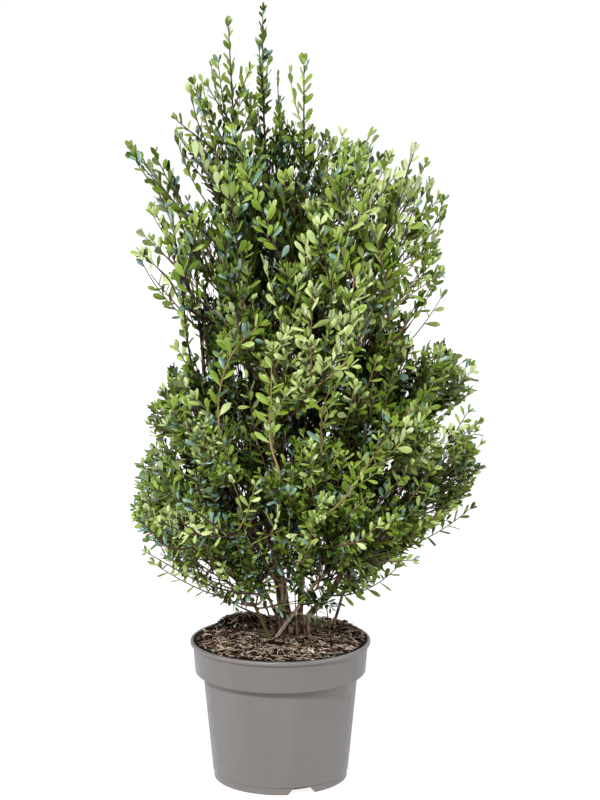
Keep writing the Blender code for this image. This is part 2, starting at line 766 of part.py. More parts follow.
def leaf_try(mass, twig, index, share, attempt, draw):
    """The frame of one leaf: on the side of the twig that this attempt gives it."""
    root, along, side = twig.at(share)
    lean = END_LEAN * draw.random() if share == 1.0 else LEAF_LEAN * draw.uniform(0.8, 1.2)
    direction = leaning(along, side, rank_turn(index + attempt, draw), lean)
    outward = Vector((*(root - CROWN_AXIS).xy, 0)).normalized()
    face = along * 0.2 + UP * 0.6 + outward * draw.uniform(0.5, 1.5)
    length = mass.leaf_length * draw.uniform(0.85, 1.05)
    if twig.name == "stem" and index == 0:
        direction = (mass.tip - root).normalized()
        length = (mass.tip - root).length / LEAF_REACH
    return leaf_frame(root - along * ROOT_SINK, direction, face, length)


def grow_leaves(mass, twigs, obstacles):
    """Leaves on every twig. One that leaves the space, or meets a limb, twig or leaf, is skipped."""
    samples = leaf_samples()
    leaves = []
    taken = np.full((1, 3), 9.0)
    for twig in twigs:
        others = [other for other in twigs if other is not twig]
        starts = np.array([a for other in others for a in other.points[:-1]] or [(9, 9, 8)])
        ends = np.array([b for other in others for b in other.points[1:]] or [(9, 9, 9)])
        for index, share in enumerate(leaf_places(twig, mass.leaf_length * LEAF_SPACING)):
            draw = random.Random(f"{mass.name} {twig.name} leaf {index}")
            for attempt in range(LEAF_TRIES):
                frame = leaf_try(mass, twig, index, share, attempt, draw)
                points = np.array([frame @ sample for sample in samples])
                if not mass.holds(points, LEAF_INSET) or obstacles.distance(points) < LEAF_CLEARANCE:
                    continue
                if segment_distances(points, starts, ends, TWIG_RADIUS).min() < LEAF_CLEARANCE:
                    continue
                if np.linalg.norm(points[:, None] - taken, axis=2).min() < LEAF_APART:
                    continue
                leaves.append(frame)
                taken = np.concatenate([taken, points])
                break
    return leaves


def twig_bmesh(twig):
    """A three-sided twig: a triangle drawn along the path, ring by ring."""
    bm = bmesh.new()
    bmesh.ops.create_circle(bm, cap_ends=True, segments=3, radius=1)
    bm.faces.ensure_lookup_table()
    face = bm.faces[0]
    place_ring(face, twig, 0)
    for index in range(1, len(twig.points)):
        grown = bmesh.ops.extrude_face_region(bm, geom=[face])["geom"]
        if index > 1:
            bmesh.ops.delete(bm, geom=[face], context="FACES_ONLY")
        face = next(item for item in grown if isinstance(item, bmesh.types.BMFace))
        place_ring(face, twig, index)
    return bm


def place_ring(face, twig, index):
    for corner, vertex in enumerate(face.verts):
        turned = Matrix.Rotation(corner * THIRD_TURN, 3, twig.directions[index]) @ twig.sides[index]
        vertex.co = twig.points[index] + turned * twig.radii[index]


def leaf_bmesh(frame):
    """A five-sided cone drawn out to the leaf's outline, with its point as the raised middle."""
    bm = bmesh.new()
    bmesh.ops.create_cone(bm, cap_ends=True, segments=5, radius1=1, radius2=0, depth=1)
    outline = leaf_outline()
    rim = sorted((v for v in bm.verts if v.co.z < 0), key=lambda v: math.atan2(v.co.y, v.co.x) % math.tau)
    middle = next(v for v in bm.verts if v.co.z > 0)
    for vertex, (along, across) in zip(rim, outline):
        vertex.co = (along, across, 0)
    middle.co = (0.5, 0, LEAF_RISE)
    bmesh.ops.transform(bm, matrix=frame, verts=bm.verts)
    return bm


def largest_body(mesh):
    """Drops what fusing leaves beside the body: sealed hollows and loose scraps."""
    bm = bmesh.new()
    bm.from_mesh(mesh)
    unseen = set(bm.faces)
    bodies = []
    while unseen:
        body = [unseen.pop()]
        for face in body:
            for edge in face.edges:
                fresh = [other for other in edge.link_faces if other in unseen]
                unseen.difference_update(fresh)
                body += fresh
        bodies.append(body)
    bodies.sort(key=len)
    bmesh.ops.delete(bm, geom=[face for body in bodies[:-1] for face in body], context="FACES")
    bmesh.ops.triangulate(bm, faces=bm.faces)
    sound = all(edge.is_manifold for edge in bm.edges) and all(vertex.is_manifold for vertex in bm.verts)
    bm.to_mesh(mesh)
    bm.free()
    return sound


def fuse_mass(mass, twigs, leaves, parts, material):
    """Joins the stem, twigs and leaves into one solid."""
    pieces = new_collection(f"{mass.name} pieces")
    for index, twig in enumerate(twigs[1:]):
        object_from_bmesh(f"{mass.name}_twig_{index}", twig_bmesh(twig), pieces)
    for index, frame in enumerate(leaves):
        object_from_bmesh(f"{mass.name}_leaf_{index}", leaf_bmesh(frame), pieces)
    body = object_from_bmesh(mass.name, twig_bmesh(twigs[0]), parts, material)
    union = body.modifiers.new("Fuse", "BOOLEAN")
    union.operation = "UNION"
    union.operand_type = "COLLECTION"
    union.collection = pieces
    fused = evaluated_mesh(body)
    if not largest_body(fused):
        union.solver = "MANIFOLD"
        fused = evaluated_mesh(body)
        largest_body(fused)
    body.modifiers.clear()
    body.data = fused
    fused.materials.clear()
    fused.materials.append(material)
    for piece in list(pieces.objects):
        bpy.data.objects.remove(piece)
    bpy.data.collections.remove(pieces)


def mass_material(mass, materials):
    height = mass.tip.z
    return materials["leaf_low" if height < 0.65 else "leaf_mid" if height < 1.0 else "leaf_top"]


def make_masses(limbs, parts, materials):
    obstacles = Obstacles(limbs)
    for mass in plan_masses(limbs):
        twigs = grow_twigs(mass, obstacles)
        leaves = grow_leaves(mass, twigs, obstacles)
        fuse_mass(mass, twigs, leaves, parts, mass_material(mass, materials))


def main():
    clear_scene()
    parts = new_collection("potted japanese holly")
    cutters = new_collection("cutters")
    materials = {name: new_material(name, *look) for name, look in COLOURS.items()}
    make_pot(parts, cutters, materials)
    make_soil(parts, materials)
    limbs = plan_limbs()
    make_limbs(limbs, parts, cutters, materials)
    make_masses(limbs, parts, materials)


if __name__ == "__main__":
    main()
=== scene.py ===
"""The looks of a potted Japanese holly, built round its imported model: the pot and its bark compost,
the stems with their bark, and twigs and leaves that grow on from them by the model's own rule.
Metres, +Z up, -Y is the front."""

import itertools
import math
import random
from collections import namedtuple

import bmesh
import bpy
import numpy as np
from mathutils import Matrix, Vector, noise


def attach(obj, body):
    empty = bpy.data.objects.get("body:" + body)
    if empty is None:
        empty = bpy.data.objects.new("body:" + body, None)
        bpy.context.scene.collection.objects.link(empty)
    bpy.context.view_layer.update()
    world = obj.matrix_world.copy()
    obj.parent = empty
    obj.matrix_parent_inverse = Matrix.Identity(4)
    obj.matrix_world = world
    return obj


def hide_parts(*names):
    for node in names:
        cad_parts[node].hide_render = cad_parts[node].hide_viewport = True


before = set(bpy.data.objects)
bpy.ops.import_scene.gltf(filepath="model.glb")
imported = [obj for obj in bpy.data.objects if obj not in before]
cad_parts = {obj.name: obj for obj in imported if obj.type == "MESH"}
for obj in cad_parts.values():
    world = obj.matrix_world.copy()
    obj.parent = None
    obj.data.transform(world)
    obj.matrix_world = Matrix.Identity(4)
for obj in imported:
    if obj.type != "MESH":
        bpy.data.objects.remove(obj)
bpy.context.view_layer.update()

UP = Vector((0, 0, 1))
UPWARD = np.array((0.0, 0.0, 1.0))

# Camera, fitted to the ellipses of the pot's rim and foot in a frame 800 pixels high
CAMERA_PLACE = (0.0, -3.7, 1.265)
CAMERA_TILT = math.radians(8.38)
CAMERA_TURN = math.radians(0.572)
CAMERA_FOCUS_PIXELS = 2013
FRAME_PIXELS = (600, 800)
SENSOR_HEIGHT = 36.0

# Pot, as in the model
RIM_RADIUS = 0.170
RIM_HEIGHT = 0.265
LIP_DROP = 0.0075
BAND_TOP_RADIUS = 0.1655
BAND_FOOT_RADIUS = 0.161
BAND_FOOT_HEIGHT = 0.204
BODY_TOP_RADIUS = 0.1455
BODY_FOOT_RADIUS = 0.1285
LEDGE_HEIGHT = 0.014
FOOT_RADIUS = 0.1265
WALL = 0.0022
FLOOR = 0.003
CENTRE_PAD_RADIUS = 0.098
GALLERY_HEIGHT = 0.017
NOTCHES = 3
NOTCH_TURN = math.radians(-72)
NOTCH_FOOT_WIDTH = 0.053
NOTCH_TOP_WIDTH = 0.029
NOTCH_HEIGHT = 0.014
NOTCH_DEPTH = 0.012
POT_SIDES = 160
FILLET_STEPS = 4


# Soil, as in the model but a little higher at the wall and the mound, and what lies on it
GAP = 0.0003
FOOT_LEVEL = 0.272
SOIL_EDGE = 0.2630
SOIL_RADIUS = BAND_FOOT_RADIUS - WALL + 0.0028
PLATEAU_CENTRE = Vector((0.032, 0.028, 0))
PLATEAU_RADIUS = 0.098
SOIL_LUMP = 0.005
SOIL_SLOPE = 0.05
SOIL_BLEND = 0.015
MOUND_CENTRE = Vector((-0.075, 0.105, 0))
MOUND_RADIUS = 0.056
MOUND_HEIGHT = 0.019
SOIL_RINGS = 56
SOIL_SPOKES = 168
SOIL_RING_POWER = 0.8
SMOOTH_AT_WALL = 0.004
SOIL_TAPER = 0.985
SOIL_DEPTH = 0.03
CRUMB_HEIGHT = 0.0045
CHIPS = 1100
FIBRES = 2400
SOIL_GREENS = 46

# Limbs, as in the model
LIMBS = {
    "trunk": (None, None, (
        (0.014, 0.018, 0.250), (0.012, 0.018, 0.280), (0.003, 0.018, 0.348), (-0.006, 0.015, 0.413),
        (-0.002, 0.010, 0.529), (0.010, 0.000, 0.752), (0.009, 0.000, 0.892), (-0.016, 0.000, 1.080)),
        0.0125, 0.0032),
    "stem_right": (None, None, (
        (0.056, -0.010, 0.250), (0.048, -0.008, 0.296), (0.063, 0.000, 0.319), (0.101, 0.000, 0.362),
        (0.130, -0.010, 0.450), (0.135, -0.030, 0.600), (0.131, -0.050, 0.800), (0.150, -0.050, 0.880)),
        0.0068, 0.0032),
    "stem_back": (None, None, (
        (0.036, 0.096, 0.250), (0.042, 0.104, 0.370), (0.048, 0.112, 0.550), (0.036, 0.118, 0.780),
        (0.010, 0.112, 0.900)), 0.0064, 0.0032),
    "cane": (None, None, (
        (-0.022, -0.014, 0.250), (0.029, -0.040, 0.330), (0.060, -0.065, 0.380), (0.085, -0.088, 0.412)),
        0.0034, 0.0030),
    "shoot_left": (None, None, (
        (-0.010, -0.034, 0.250), (-0.036, -0.066, 0.320), (-0.058, -0.100, 0.373)), 0.0028, 0.0026),
    "shoot_back_left": (None, None, (
        (0.008, 0.074, 0.250), (-0.022, 0.088, 0.320), (-0.052, 0.104, 0.372)), 0.0032, 0.0028),
    "shoot_right": (None, None, (
        (0.094, 0.056, 0.250), (0.116, 0.068, 0.320), (0.130, 0.080, 0.372)), 0.0032, 0.0028),
    "leader_left": ("trunk", 0.430, (
        (-0.073, -0.030, 0.524), (-0.115, -0.030, 0.620), (-0.135, -0.020, 0.719),
        (-0.144, -0.015, 0.830)), 0.0068, 0.0032),
    "leader_mid": ("trunk", 0.500, (
        (-0.026, -0.030, 0.600), (-0.030, -0.040, 0.750), (-0.058, -0.036, 0.905),
        (-0.072, -0.032, 1.060)), 0.0056, 0.0032),
    "leader_right": ("trunk", 0.640, (
        (0.032, -0.030, 0.750), (0.040, -0.036, 0.880), (0.042, -0.030, 1.000)), 0.0048, 0.0032),
}
LIMB_STEP = 0.065
BOUGH_PIECES = 3
BOUGH_FOOT_RADIUS = 0.0052
BOUGH_TIP_RADIUS = 0.0030
BOUGH_SHARE = 0.26
BOUGH_RISE = 0.45

# Foliage masses, as in the model: at the end of a limb, and at the end of a bough
LIMB_MASSES = {
    "spire_centre": ("trunk", (-0.030, 0.010, 1.444), 0.100, 0.50),
    "spire_left": ("leader_mid", (-0.092, -0.040, 1.414), 0.095, 0.50),
    "spire_right": ("leader_right", (0.044, -0.030, 1.348), 0.090, 0.45),
    "upper_left": ("leader_left", (-0.236, -0.020, 1.085), 0.100, 0.10),
    "upper_right": ("stem_right", (0.247, -0.030, 1.188), 0.140, 0.30),
    "upper_back": ("stem_back", (-0.045, 0.205, 1.130), 0.160, 0.15),
    "skirt_front_left": ("shoot_left", (-0.165, -0.225, 0.500), 0.170, 0.05),
    "skirt_front_right": ("cane", (0.225, -0.230, 0.530), 0.170, 0.05),
    "skirt_back_left": ("shoot_back_left", (-0.175, 0.215, 0.500), 0.170, 0.05),
    "skirt_back_right": ("shoot_right", (0.245, 0.215, 0.530), 0.170, 0.05),
}
BOUGH_MASSES = {
    "skirt_left": ("trunk", 0.360, (-0.272, -0.020, 0.545), 0.165, 0.05),
    "skirt_front": ("trunk", 0.390, (0.070, -0.305, 0.560), 0.170, 0.05),
    "skirt_right": ("stem_right", 0.390, (0.376, -0.010, 0.600), 0.160, 0.05),
    "skirt_back": ("stem_back", 0.350, (0.030, 0.305, 0.520), 0.170, 0.05),
    "shoulder_left": ("leader_left", 0.560, (-0.236, 0.010, 0.715), 0.150, 0.10),
    "shoulder_front_left": ("leader_left", 0.500, (-0.138, -0.235, 0.700), 0.150, 0.10),
    "shoulder_front": ("trunk", 0.570, (-0.016, -0.245, 0.853), 0.150, 0.15),
    "middle_front": ("leader_right", 0.770, (0.095, -0.225, 0.930), 0.130, 0.15),
    "shoulder_front_right": ("stem_right", 0.480, (0.210, -0.235, 0.740), 0.150, 0.10),
    "shoulder_right": ("stem_right", 0.550, (0.362, 0.015, 0.790), 0.150, 0.10),
    "shoulder_back_right": ("stem_back", 0.500, (0.250, 0.205, 0.760), 0.160, 0.10),
    "shoulder_back_left": ("trunk", 0.460, (-0.145, 0.200, 0.780), 0.160, 0.10),
    "left_spray": ("leader_mid", 0.830, (-0.277, 0.000, 1.192), 0.100, 0.25),
    "upper_front_left": ("leader_mid", 0.740, (-0.110, -0.170, 1.010), 0.140, 0.15),
    "upper_front": ("trunk", 0.780, (0.067, -0.175, 1.085), 0.140, 0.15),
    "upper_front_right": ("stem_right", 0.640, (0.165, -0.200, 0.960), 0.140, 0.15),
    "upper_right_top": ("trunk", 0.880, (0.172, 0.025, 1.216), 0.130, 0.10),
    "upper_back_right": ("stem_back", 0.700, (0.250, 0.150, 1.080), 0.155, 0.10),
    "spire_far_left": ("leader_mid", 0.960, (-0.160, 0.030, 1.310), 0.100, 0.30),
}
ZONE_TOPS = (("low", 0.65), ("mid", 1.0), ("top", 9.0))

# Growth of a mass, as in the model
CELL_GAP = 0.0015
BEHIND_START = 0.30
CROWN_AXIS = Vector((0.040, 0.000, 0))
CROWN_FOOT = 0.325
UNDERSIDE_RADIUS = 0.14
UNDERSIDE_SLOPE = 0.5
CROWN_TOP = 1.4445
START_SWELL = 0.70
STEM_PIECES = 4
STEM_BEND = 0.35
STEM_BARE = 0.04
TWIG_SPACING = 0.034
TWIG_FEWEST = 8
TWIG_RADIUS = 0.0015
TWIG_SHORTEST = 0.035
TWIG_LONGEST = 0.150
TWIG_CUT = 0.006
TWIG_INSET = 0.003
TWIG_LEAN = math.radians(52)
TWIG_LIFT = 0.35
TWIG_TRIES = 6
THIRD_TURN = math.tau / 3
TURN_SPREAD = 0.20
LIMB_CLEARANCE = 0.0012
LEAF_SHARE = 0.64
LEAF_LONGEST = 0.092
LEAF_REACH = 0.92

# Finer growth: branchlets on the limbs, sprays on all the twigs, and short leafy shoots on the sprays.
# A Growth says how shoots stand on their parent, and a Manner how a mass's growth departs from that
Growth = namedtuple("Growth", "spacing bare shortest longest lean pull bow inset apart tries")
BRANCHLET = Growth(0.015, 0.02, 0.060, 0.150, math.radians(50), 0.45, 0.40, 0.020, 0.031, 6)
SPRAY = Growth(0.0120, 0.08, 0.055, 0.150, math.radians(40), 1.10, 0.80, 0.010, 0.0140, 6)
SHOOT = Growth(0.0420, 0.12, 0.016, 0.042, math.radians(44), 0.45, 0.40, 0.008, 0.0, 3)
MAIN_RADII = (0.0019, 0.0009)
SPRAY_RADII = (0.0014, 0.0008)
SHOOT_RADII = (0.0010, 0.0006)
GOLDEN_TURN = math.radians(137.5)
RAGGED = 0.022
MAIN_RISE = 0.14
MAIN_RUN_ON = (0.50, 0.80)
REACH_AT_FOOT = 1.15
REACH_LOST_BY_TIP = 0.45
LEAST_ROOM = 0.6
ROOMY_STEPS = (0.20, 0.95)
ROOMY_LEANS = (0.70, 1.30)
ROOMY_TURNS = (-0.5, 0.5)
SIDE_STEPS = (0.10, 0.95)
SIDE_LEANS = (0.75, 1.25)
SIDE_END = 0.85
PATH_STEPS = 8
LIMB_PATH_STEPS = 24
BRANCHLET_FLOOR = 0.345
FAN_FOOT = np.array((0.030, 0.000, 0.120))
Manner = namedtuple("Manner", "fullness lean pull size widening bare")
MANNERS = {
    "spire": Manner(0.36, 0.60, 0.50, 1.02, -0.012, 0.25),
    "left_spray": Manner(0.42, 0.70, 0.50, 1.00, -0.012, 0.25),
    "upper_right": Manner(0.52, 0.90, 0.90, 1.20, 0.010, 0.50),
    "upper_left": Manner(0.58, 0.85, 0.90, 1.10, 0.010, 0.45),
    "upper_back": Manner(0.68, 0.90, 1.00, 1.12, 0.015, 0.55),
    "upper": Manner(0.82, 0.85, 1.20, 1.14, 0.030, 0.55),
    "middle": Manner(0.90, 0.85, 1.20, 1.10, 0.030, 0.55),
    "shoulder": Manner(0.94, 0.95, 1.00, 1.08, 0.030, 0.55),
    "skirt": Manner(1.00, 1.00, 0.60, 0.97, 0.030, 0.55),
}
AIRY_MASSES = ("spire", "left_spray")
LIMB_MANNER = Manner(1.00, 0.90, 1.00, 0.95, 0.0, 0.55)

# Low branches that arch out from the foot of the stems, under the skirt: how many in each ring, and
# the heights between which they start and end
LOW_RINGS = ((16, 0.335, 0.400, 0.415, 0.475), (14, 0.300, 0.350, 0.348, 0.395))
LOW_MANNER = Manner(1.05, 1.10, -0.20, 0.86, 0.0, 0.55)
LOW_HANG = 0.55
LOW_SHARE = 0.93
LOW_SAG = 0.012

# Tips of the long young shoots that make the crown's outline
OUTLINE_TIPS = (
    (-0.126, 0.000, 1.343), (-0.142, 0.020, 1.316), (-0.164, 0.030, 1.300), (-0.003, 0.010, 1.324),
    (0.018, 0.000, 1.330), (-0.070, 0.000, 1.330), (-0.064, -0.020, 1.290), (-0.080, -0.030, 1.225),
    (-0.052, -0.040, 1.205), (-0.192, 0.010, 1.220), (0.058, 0.000, 1.226),
    (-0.277, 0.000, 1.190), (-0.261, -0.010, 0.995), (-0.240, 0.000, 1.026), (0.062, 0.000, 1.224),
    (0.117, 0.010, 1.219), (0.175, 0.020, 1.208), (0.241, -0.020, 1.192), (0.304, 0.000, 1.101),
    (0.030, 0.020, 1.195), (0.090, -0.010, 1.190), (0.150, 0.000, 1.190), (0.205, 0.010, 1.180),
    (0.272, 0.010, 1.168), (0.302, 0.010, 1.068), (0.292, 0.020, 1.017), (0.275, 0.000, 0.990),
    (0.300, -0.010, 0.970), (0.286, 0.010, 0.930), (0.305, 0.020, 0.920),
    (-0.221, 0.000, 0.748), (-0.240, 0.010, 0.664), (-0.265, 0.000, 0.604), (-0.270, -0.020, 0.503),
    (-0.247, -0.010, 0.420), (0.356, 0.000, 0.738), (0.374, 0.000, 0.682), (0.381, -0.010, 0.597),
    (0.367, 0.010, 0.521), (0.227, -0.020, 0.415),
)
# Tips of the long young shoots that stand out of the front, across and up
FRONT_TIPS = (
    (0.072, 1.070), (0.108, 1.035), (0.172, 1.055), (0.270, 1.045), (0.284, 1.005), (0.156, 0.975),
    (0.055, 0.950), (0.032, 0.970), (0.120, 0.940), (0.140, 0.915), (0.085, 0.885), (-0.016, 0.850),
    (0.245, 0.895), (0.240, 0.850), (-0.050, 0.935), (-0.095, 1.090), (-0.150, 1.060), (0.020, 1.150),
    (0.110, 1.150), (0.215, 1.130), (-0.014, 0.715), (0.054, 0.685), (-0.102, 0.690), (-0.086, 0.625),
    (-0.155, 0.630), (0.073, 0.580), (0.194, 0.705), (0.226, 0.720), (0.234, 0.650), (0.160, 0.600),
    (0.310, 0.700), (0.130, 0.790), (0.170, 0.830), (-0.060, 0.800), (-0.160, 0.760), (-0.210, 0.640),
    (0.310, 0.560), (-0.030, 1.000),
)
# The stems that show in the front: column and row in the frame of each one's foot, middle and tip
FRONT_STEMS = (
    ((283, 265), (260, 206), (231, 128)), ((239, 275), (235, 222), (226, 164)),
    ((231, 203), (211, 179), (178, 136)), ((190, 219), (160, 186), (130, 153)),
    ((186, 330), (183, 298), (171, 205)), ((183, 305), (168, 278), (138, 252)),
    ((186, 287), (194, 245), (204, 195)), ((240, 329), (229, 275), (219, 214)),
    ((354, 348), (382, 294), (423, 233)), ((332, 290), (323, 250), (313, 215)),
    ((352, 231), (341, 206), (330, 178)), ((345, 236), (376, 200), (398, 172)),
    ((345, 196), (358, 175), (370, 150)), ((391, 274), (412, 264), (434, 248)),
    ((400, 303), (426, 284), (444, 272)), ((399, 334), (411, 313), (424, 293)),
    ((346, 325), (352, 306), (362, 280)), ((270, 441), (271, 400), (272, 345)),
    ((311, 372), (311, 340), (313, 285)), ((336, 358), (339, 345), (344, 318)),
    ((343, 366), (356, 346), (372, 318)), ((219, 395), (233, 352), (264, 320)),
    ((322, 414), (328, 394), (341, 378)), ((197, 480), (216, 455), (239, 421)),
    ((224, 532), (185, 504), (141, 482)), ((225, 537), (190, 533), (153, 520)),
    ((170, 548), (152, 532), (132, 513)), ((250, 594), (205, 584), (142, 550)),
    ((350, 491), (378, 450), (400, 418)), ((395, 449), (408, 434), (424, 418)),
    ((303, 562), (311, 535), (316, 510)), ((359, 541), (371, 531), (384, 521)),
    ((358, 215), (364, 190), (372, 165)), ((336, 183), (345, 168), (360, 148)),
    ((386, 282), (381, 258), (370, 222)), ((354, 281), (344, 258), (333, 232)),
    ((400, 245), (408, 225), (416, 200)),
)
FRONT_STEM_DEPTH = 0.95
FRONT_STEM_RADII = (0.0021, 0.0009)
FRONT_STEM_STEP = 0.012
BIG_LEAVES_ABOVE = 0.68
BIG_LEAF_SIZE = 1.22
OLD_SIDE = 0.03
OLD_ABOVE = 1.0
OLD_YOUTH = 0.72
PURPLE_SIDE = -0.04
PURPLE_ABOVE = 1.05
FRONT_SHOOT = Growth(0.030, 0.20, 0.025, 0.055, math.radians(42), 0.30, 0.30, 0.004, 0.0, 3)
LONG_SHOOT_SPREAD = np.array((1.6, 1.6, 1.0))
TIP_SIZES = ((0.50, 0.88), (0.90, 1.18))
TIP_SHOOTS_APART = 0.046
TIP_SHOOT_REACH = (0.045, 0.100)
TIP_SHOOT_FROM = 0.72
TIP_SHOOT_INSET = 0.007
TIP_SHOOT_AIRY = 0.35
AIRY_ABOVE = 1.15
AIRY_LEFT = (-0.13, 0.85)
LONG_SHOOT_REACH = 0.135
LONG_SHOOT_DEPTH = 0.030
OUTLINE_YOUTH = 0.40
OUTLINE_LEAF_SIZE = 1.12
FRONT_YOUTH = 0.42
TIP_SHORT = 0.014

# Leaf: half widths at stations along a leaf of length one, for a near leaf and an inner one
LEAF_ROWS = ((0.13, 0.046), (0.38, 0.148), (0.66, 0.198), (0.90, 0.128))
INNER_LEAF_ROWS = ((0.24, 0.095), (0.62, 0.200), (0.90, 0.130))
LEAF_FOLD = 0.080
LEAF_LENGTH = 0.0215
LEAF_SIZE_OLD = 0.84
LEAF_SIZE_GAIN = 0.32
LEAF_SIZES = (0.80, 1.15)
LEAF_WIDTHS = (0.86, 1.12)
LEAF_FOLDS = (0.4, 1.8)
LEAF_CURLS = (-0.16, 0.08)
LEAF_SPACING = 0.39
LEAF_FACING = math.radians(45)
LEAF_LIFT = 0.32
LIFT_FROM = 0.80
FORWARD_HIGH = 1.2
FORWARD_FROM = 1.2
LOOSE_ABOVE = 1.15
LOOSE_FACING = 1.3
LEAF_LEAN = 50
LEAF_LEAN_LOST_BY_TIP = 20
ROSETTE_LEANS = (10, 48)
LEAF_FACE = (0.35, 0.40, 0.60)
LEAF_FACE_CHANCE = 0.42
LEAF_TURN_CHANCE = 0.32
LEAF_LEAN_CHANCE = 9
TIP_FROM = 0.7
TIP_PART = 0.3
LENGTH_LOST_BY_TIP = 0.30
YOUTH_GAINED_BY_TIP = 0.10
YOUTH_LOST_AT_FOOT = 0.03
NEAR_SHARE = 0.84
LIMB_ROOM = 0.006

# How leaves stand on a twig: its bare share, the leaves in the rosette at its tip, how often they lie
# in two rows, their size, how wide apart they are and how far they turn to the front
Leafing = namedtuple("Leafing", "bare rosette rows size spread forward", defaults=(1.0, 1.0, 0.0))
MAIN_LEAVES = Leafing(0.55, 4, 0.50)
SPRAY_LEAVES = Leafing(0.14, 3, 0.75, 1.06)
SHOOT_LEAVES = Leafing(0.12, 2, 0.50, 0.94)
SPIRE_LEAVES = Leafing(0.40, 6, 1.00, 1.32, 1.20, 1.5)
SUCKER_LEAVES = Leafing(0.55, 2, 0.50)
FRONT_STEM_LEAVES = Leafing(0.16, 4, 0.90, 1.00, 1.35, 1.2)
FRONT_SHOOT_LEAVES = Leafing(0.12, 2, 0.90, 0.95, 1.00, 1.2)
LONG_SHOOT_LEAVES = Leafing(0.12, 3, 0.95, 1.00, 1.25, 0.8)
TIP_SHOOT_LEAVES = Leafing(0.15, 3, 0.90)
SPIRE_YOUTH = 0.50
SUCKER_YOUTH = 0.35

# Thin stems that rise from the soil among the others, each with its tint
PURPLE, BROWN, TAN, SOFT = range(4)
SUCKERS = (
    (((0.032, -0.020, 0.262), (0.028, -0.032, 0.325), (0.026, -0.040, 0.400)), TAN),
    (((-0.004, -0.010, 0.262), (-0.020, -0.030, 0.312), (-0.036, -0.048, 0.362)), BROWN),
    (((-0.008, 0.000, 0.262), (-0.024, 0.004, 0.318), (-0.040, 0.010, 0.372)), SOFT),
    (((0.098, -0.026, 0.262), (0.088, -0.020, 0.305), (0.084, -0.020, 0.358)), BROWN),
    (((0.074, 0.020, 0.262), (0.068, 0.034, 0.320), (0.056, 0.044, 0.385)), BROWN),
)
SUCKER_RADII = (0.0015, 0.0009)

# Outline of the whole crown: height, then how far it goes left, right, front and back there
CROWN_OUTLINE = np.array((
    (0.325, 0.100, 0.125, 0.140, 0.140), (0.380, 0.166, 0.190, 0.200, 0.205),
    (0.420, 0.240, 0.226, 0.240, 0.260), (0.490, 0.280, 0.315, 0.285, 0.300),
    (0.530, 0.285, 0.368, 0.300, 0.315), (0.610, 0.268, 0.385, 0.295, 0.315),
    (0.680, 0.252, 0.382, 0.280, 0.295), (0.760, 0.224, 0.368, 0.260, 0.270),
    (0.800, 0.206, 0.352, 0.255, 0.265), (0.835, 0.190, 0.300, 0.250, 0.260),
    (0.870, 0.182, 0.262, 0.240, 0.250), (0.920, 0.198, 0.282, 0.235, 0.245),
    (0.960, 0.230, 0.318, 0.228, 0.242), (1.000, 0.256, 0.320, 0.220, 0.240),
    (1.045, 0.252, 0.305, 0.210, 0.238), (1.090, 0.236, 0.300, 0.200, 0.235),
    (1.135, 0.246, 0.280, 0.175, 0.210), (1.170, 0.270, 0.220, 0.150, 0.190),
    (1.195, 0.275, 0.130, 0.130, 0.160), (1.215, 0.235, 0.070, 0.115, 0.140),
    (1.235, 0.200, 0.050, 0.100, 0.110), (1.300, 0.175, 0.055, 0.080, 0.090),
    (1.400, 0.120, 0.050, 0.070, 0.070), (1.450, 0.060, 0.005, 0.040, 0.050),
))
CROWN_POWER = 2.2
UNDERSIDE_RISE = 0.20
UNDERSIDE_TOP = 0.60
UNDERSIDE_DEPTH = 0.15

# Windows that stay open in the front of the crown: from the stems out, with a radius and how open
WINDOWS = (
    ((-0.040, -0.030, 0.475), (-0.035, -0.270, 0.530), 0.042, 0.90),
    ((-0.085, -0.050, 0.545), (-0.080, -0.280, 0.595), 0.036, 0.80),
    ((0.000, -0.010, 0.350), (0.000, -0.240, 0.408), 0.032, 0.85),
    ((-0.020, -0.040, 0.610), (-0.020, -0.280, 0.660), 0.050, 0.45),
    ((0.000, -0.027, 0.290), (0.000, -0.220, 0.340), 0.034, 0.95),
    ((0.029, -0.036, 0.330), (0.028, -0.280, 0.392), 0.031, 0.97),
    ((0.060, -0.062, 0.380), (0.057, -0.300, 0.440), 0.024, 0.92),
    ((0.085, -0.085, 0.412), (0.080, -0.300, 0.466), 0.016, 0.90),
)

# Where sky shows through the crown: column and row in the frame, and the radius left open, in pixels
SKY = (
    (210, 254, 12), (191, 285, 10), (213, 291, 9), (187, 197, 13), (204, 197, 10), (169, 264, 11),
    (151, 226, 13), (147, 276, 12), (229, 226, 7), (246, 302, 7), (278, 324, 8), (198, 346, 10),
    (201, 366, 9), (279, 373, 8), (290, 371, 7), (240, 371, 9), (239, 356, 7), (240, 446, 9),
    (243, 491, 10), (281, 450, 8), (297, 356, 8), (194, 414, 7), (363, 341, 10), (401, 369, 8),
    (415, 330, 15), (354, 401, 7), (443, 442, 8), (448, 461, 8), (449, 480, 9), (389, 466, 7),
    (400, 493, 8), (204, 564, 11), (229, 583, 11), (211, 577, 8), (185, 524, 8), (158, 549, 10),
    (431, 511, 8), (383, 536, 8), (381, 501, 7), (389, 567, 7), (323, 542, 7), (335, 577, 9),
    (313, 492, 7), (356, 193, 7), (337, 223, 7), (367, 222, 7), (402, 210, 8), (418, 204, 10),
    (390, 231, 8), (364, 260, 8), (414, 272, 11), (374, 274, 7), (351, 281, 7), (405, 257, 8),
    (430, 302, 9), (266, 118, 8), (247, 120, 7), (421, 343, 9), (452, 346, 10), (412, 357, 6),
    (461, 362, 6), (446, 330, 8), (183, 594, 9), (206, 600, 7),
)
SKY_REACH = 0.34
SKY_EDGE = 0.7
SKY_STRENGTH = 0.93
WINDOW_EDGE = 0.5

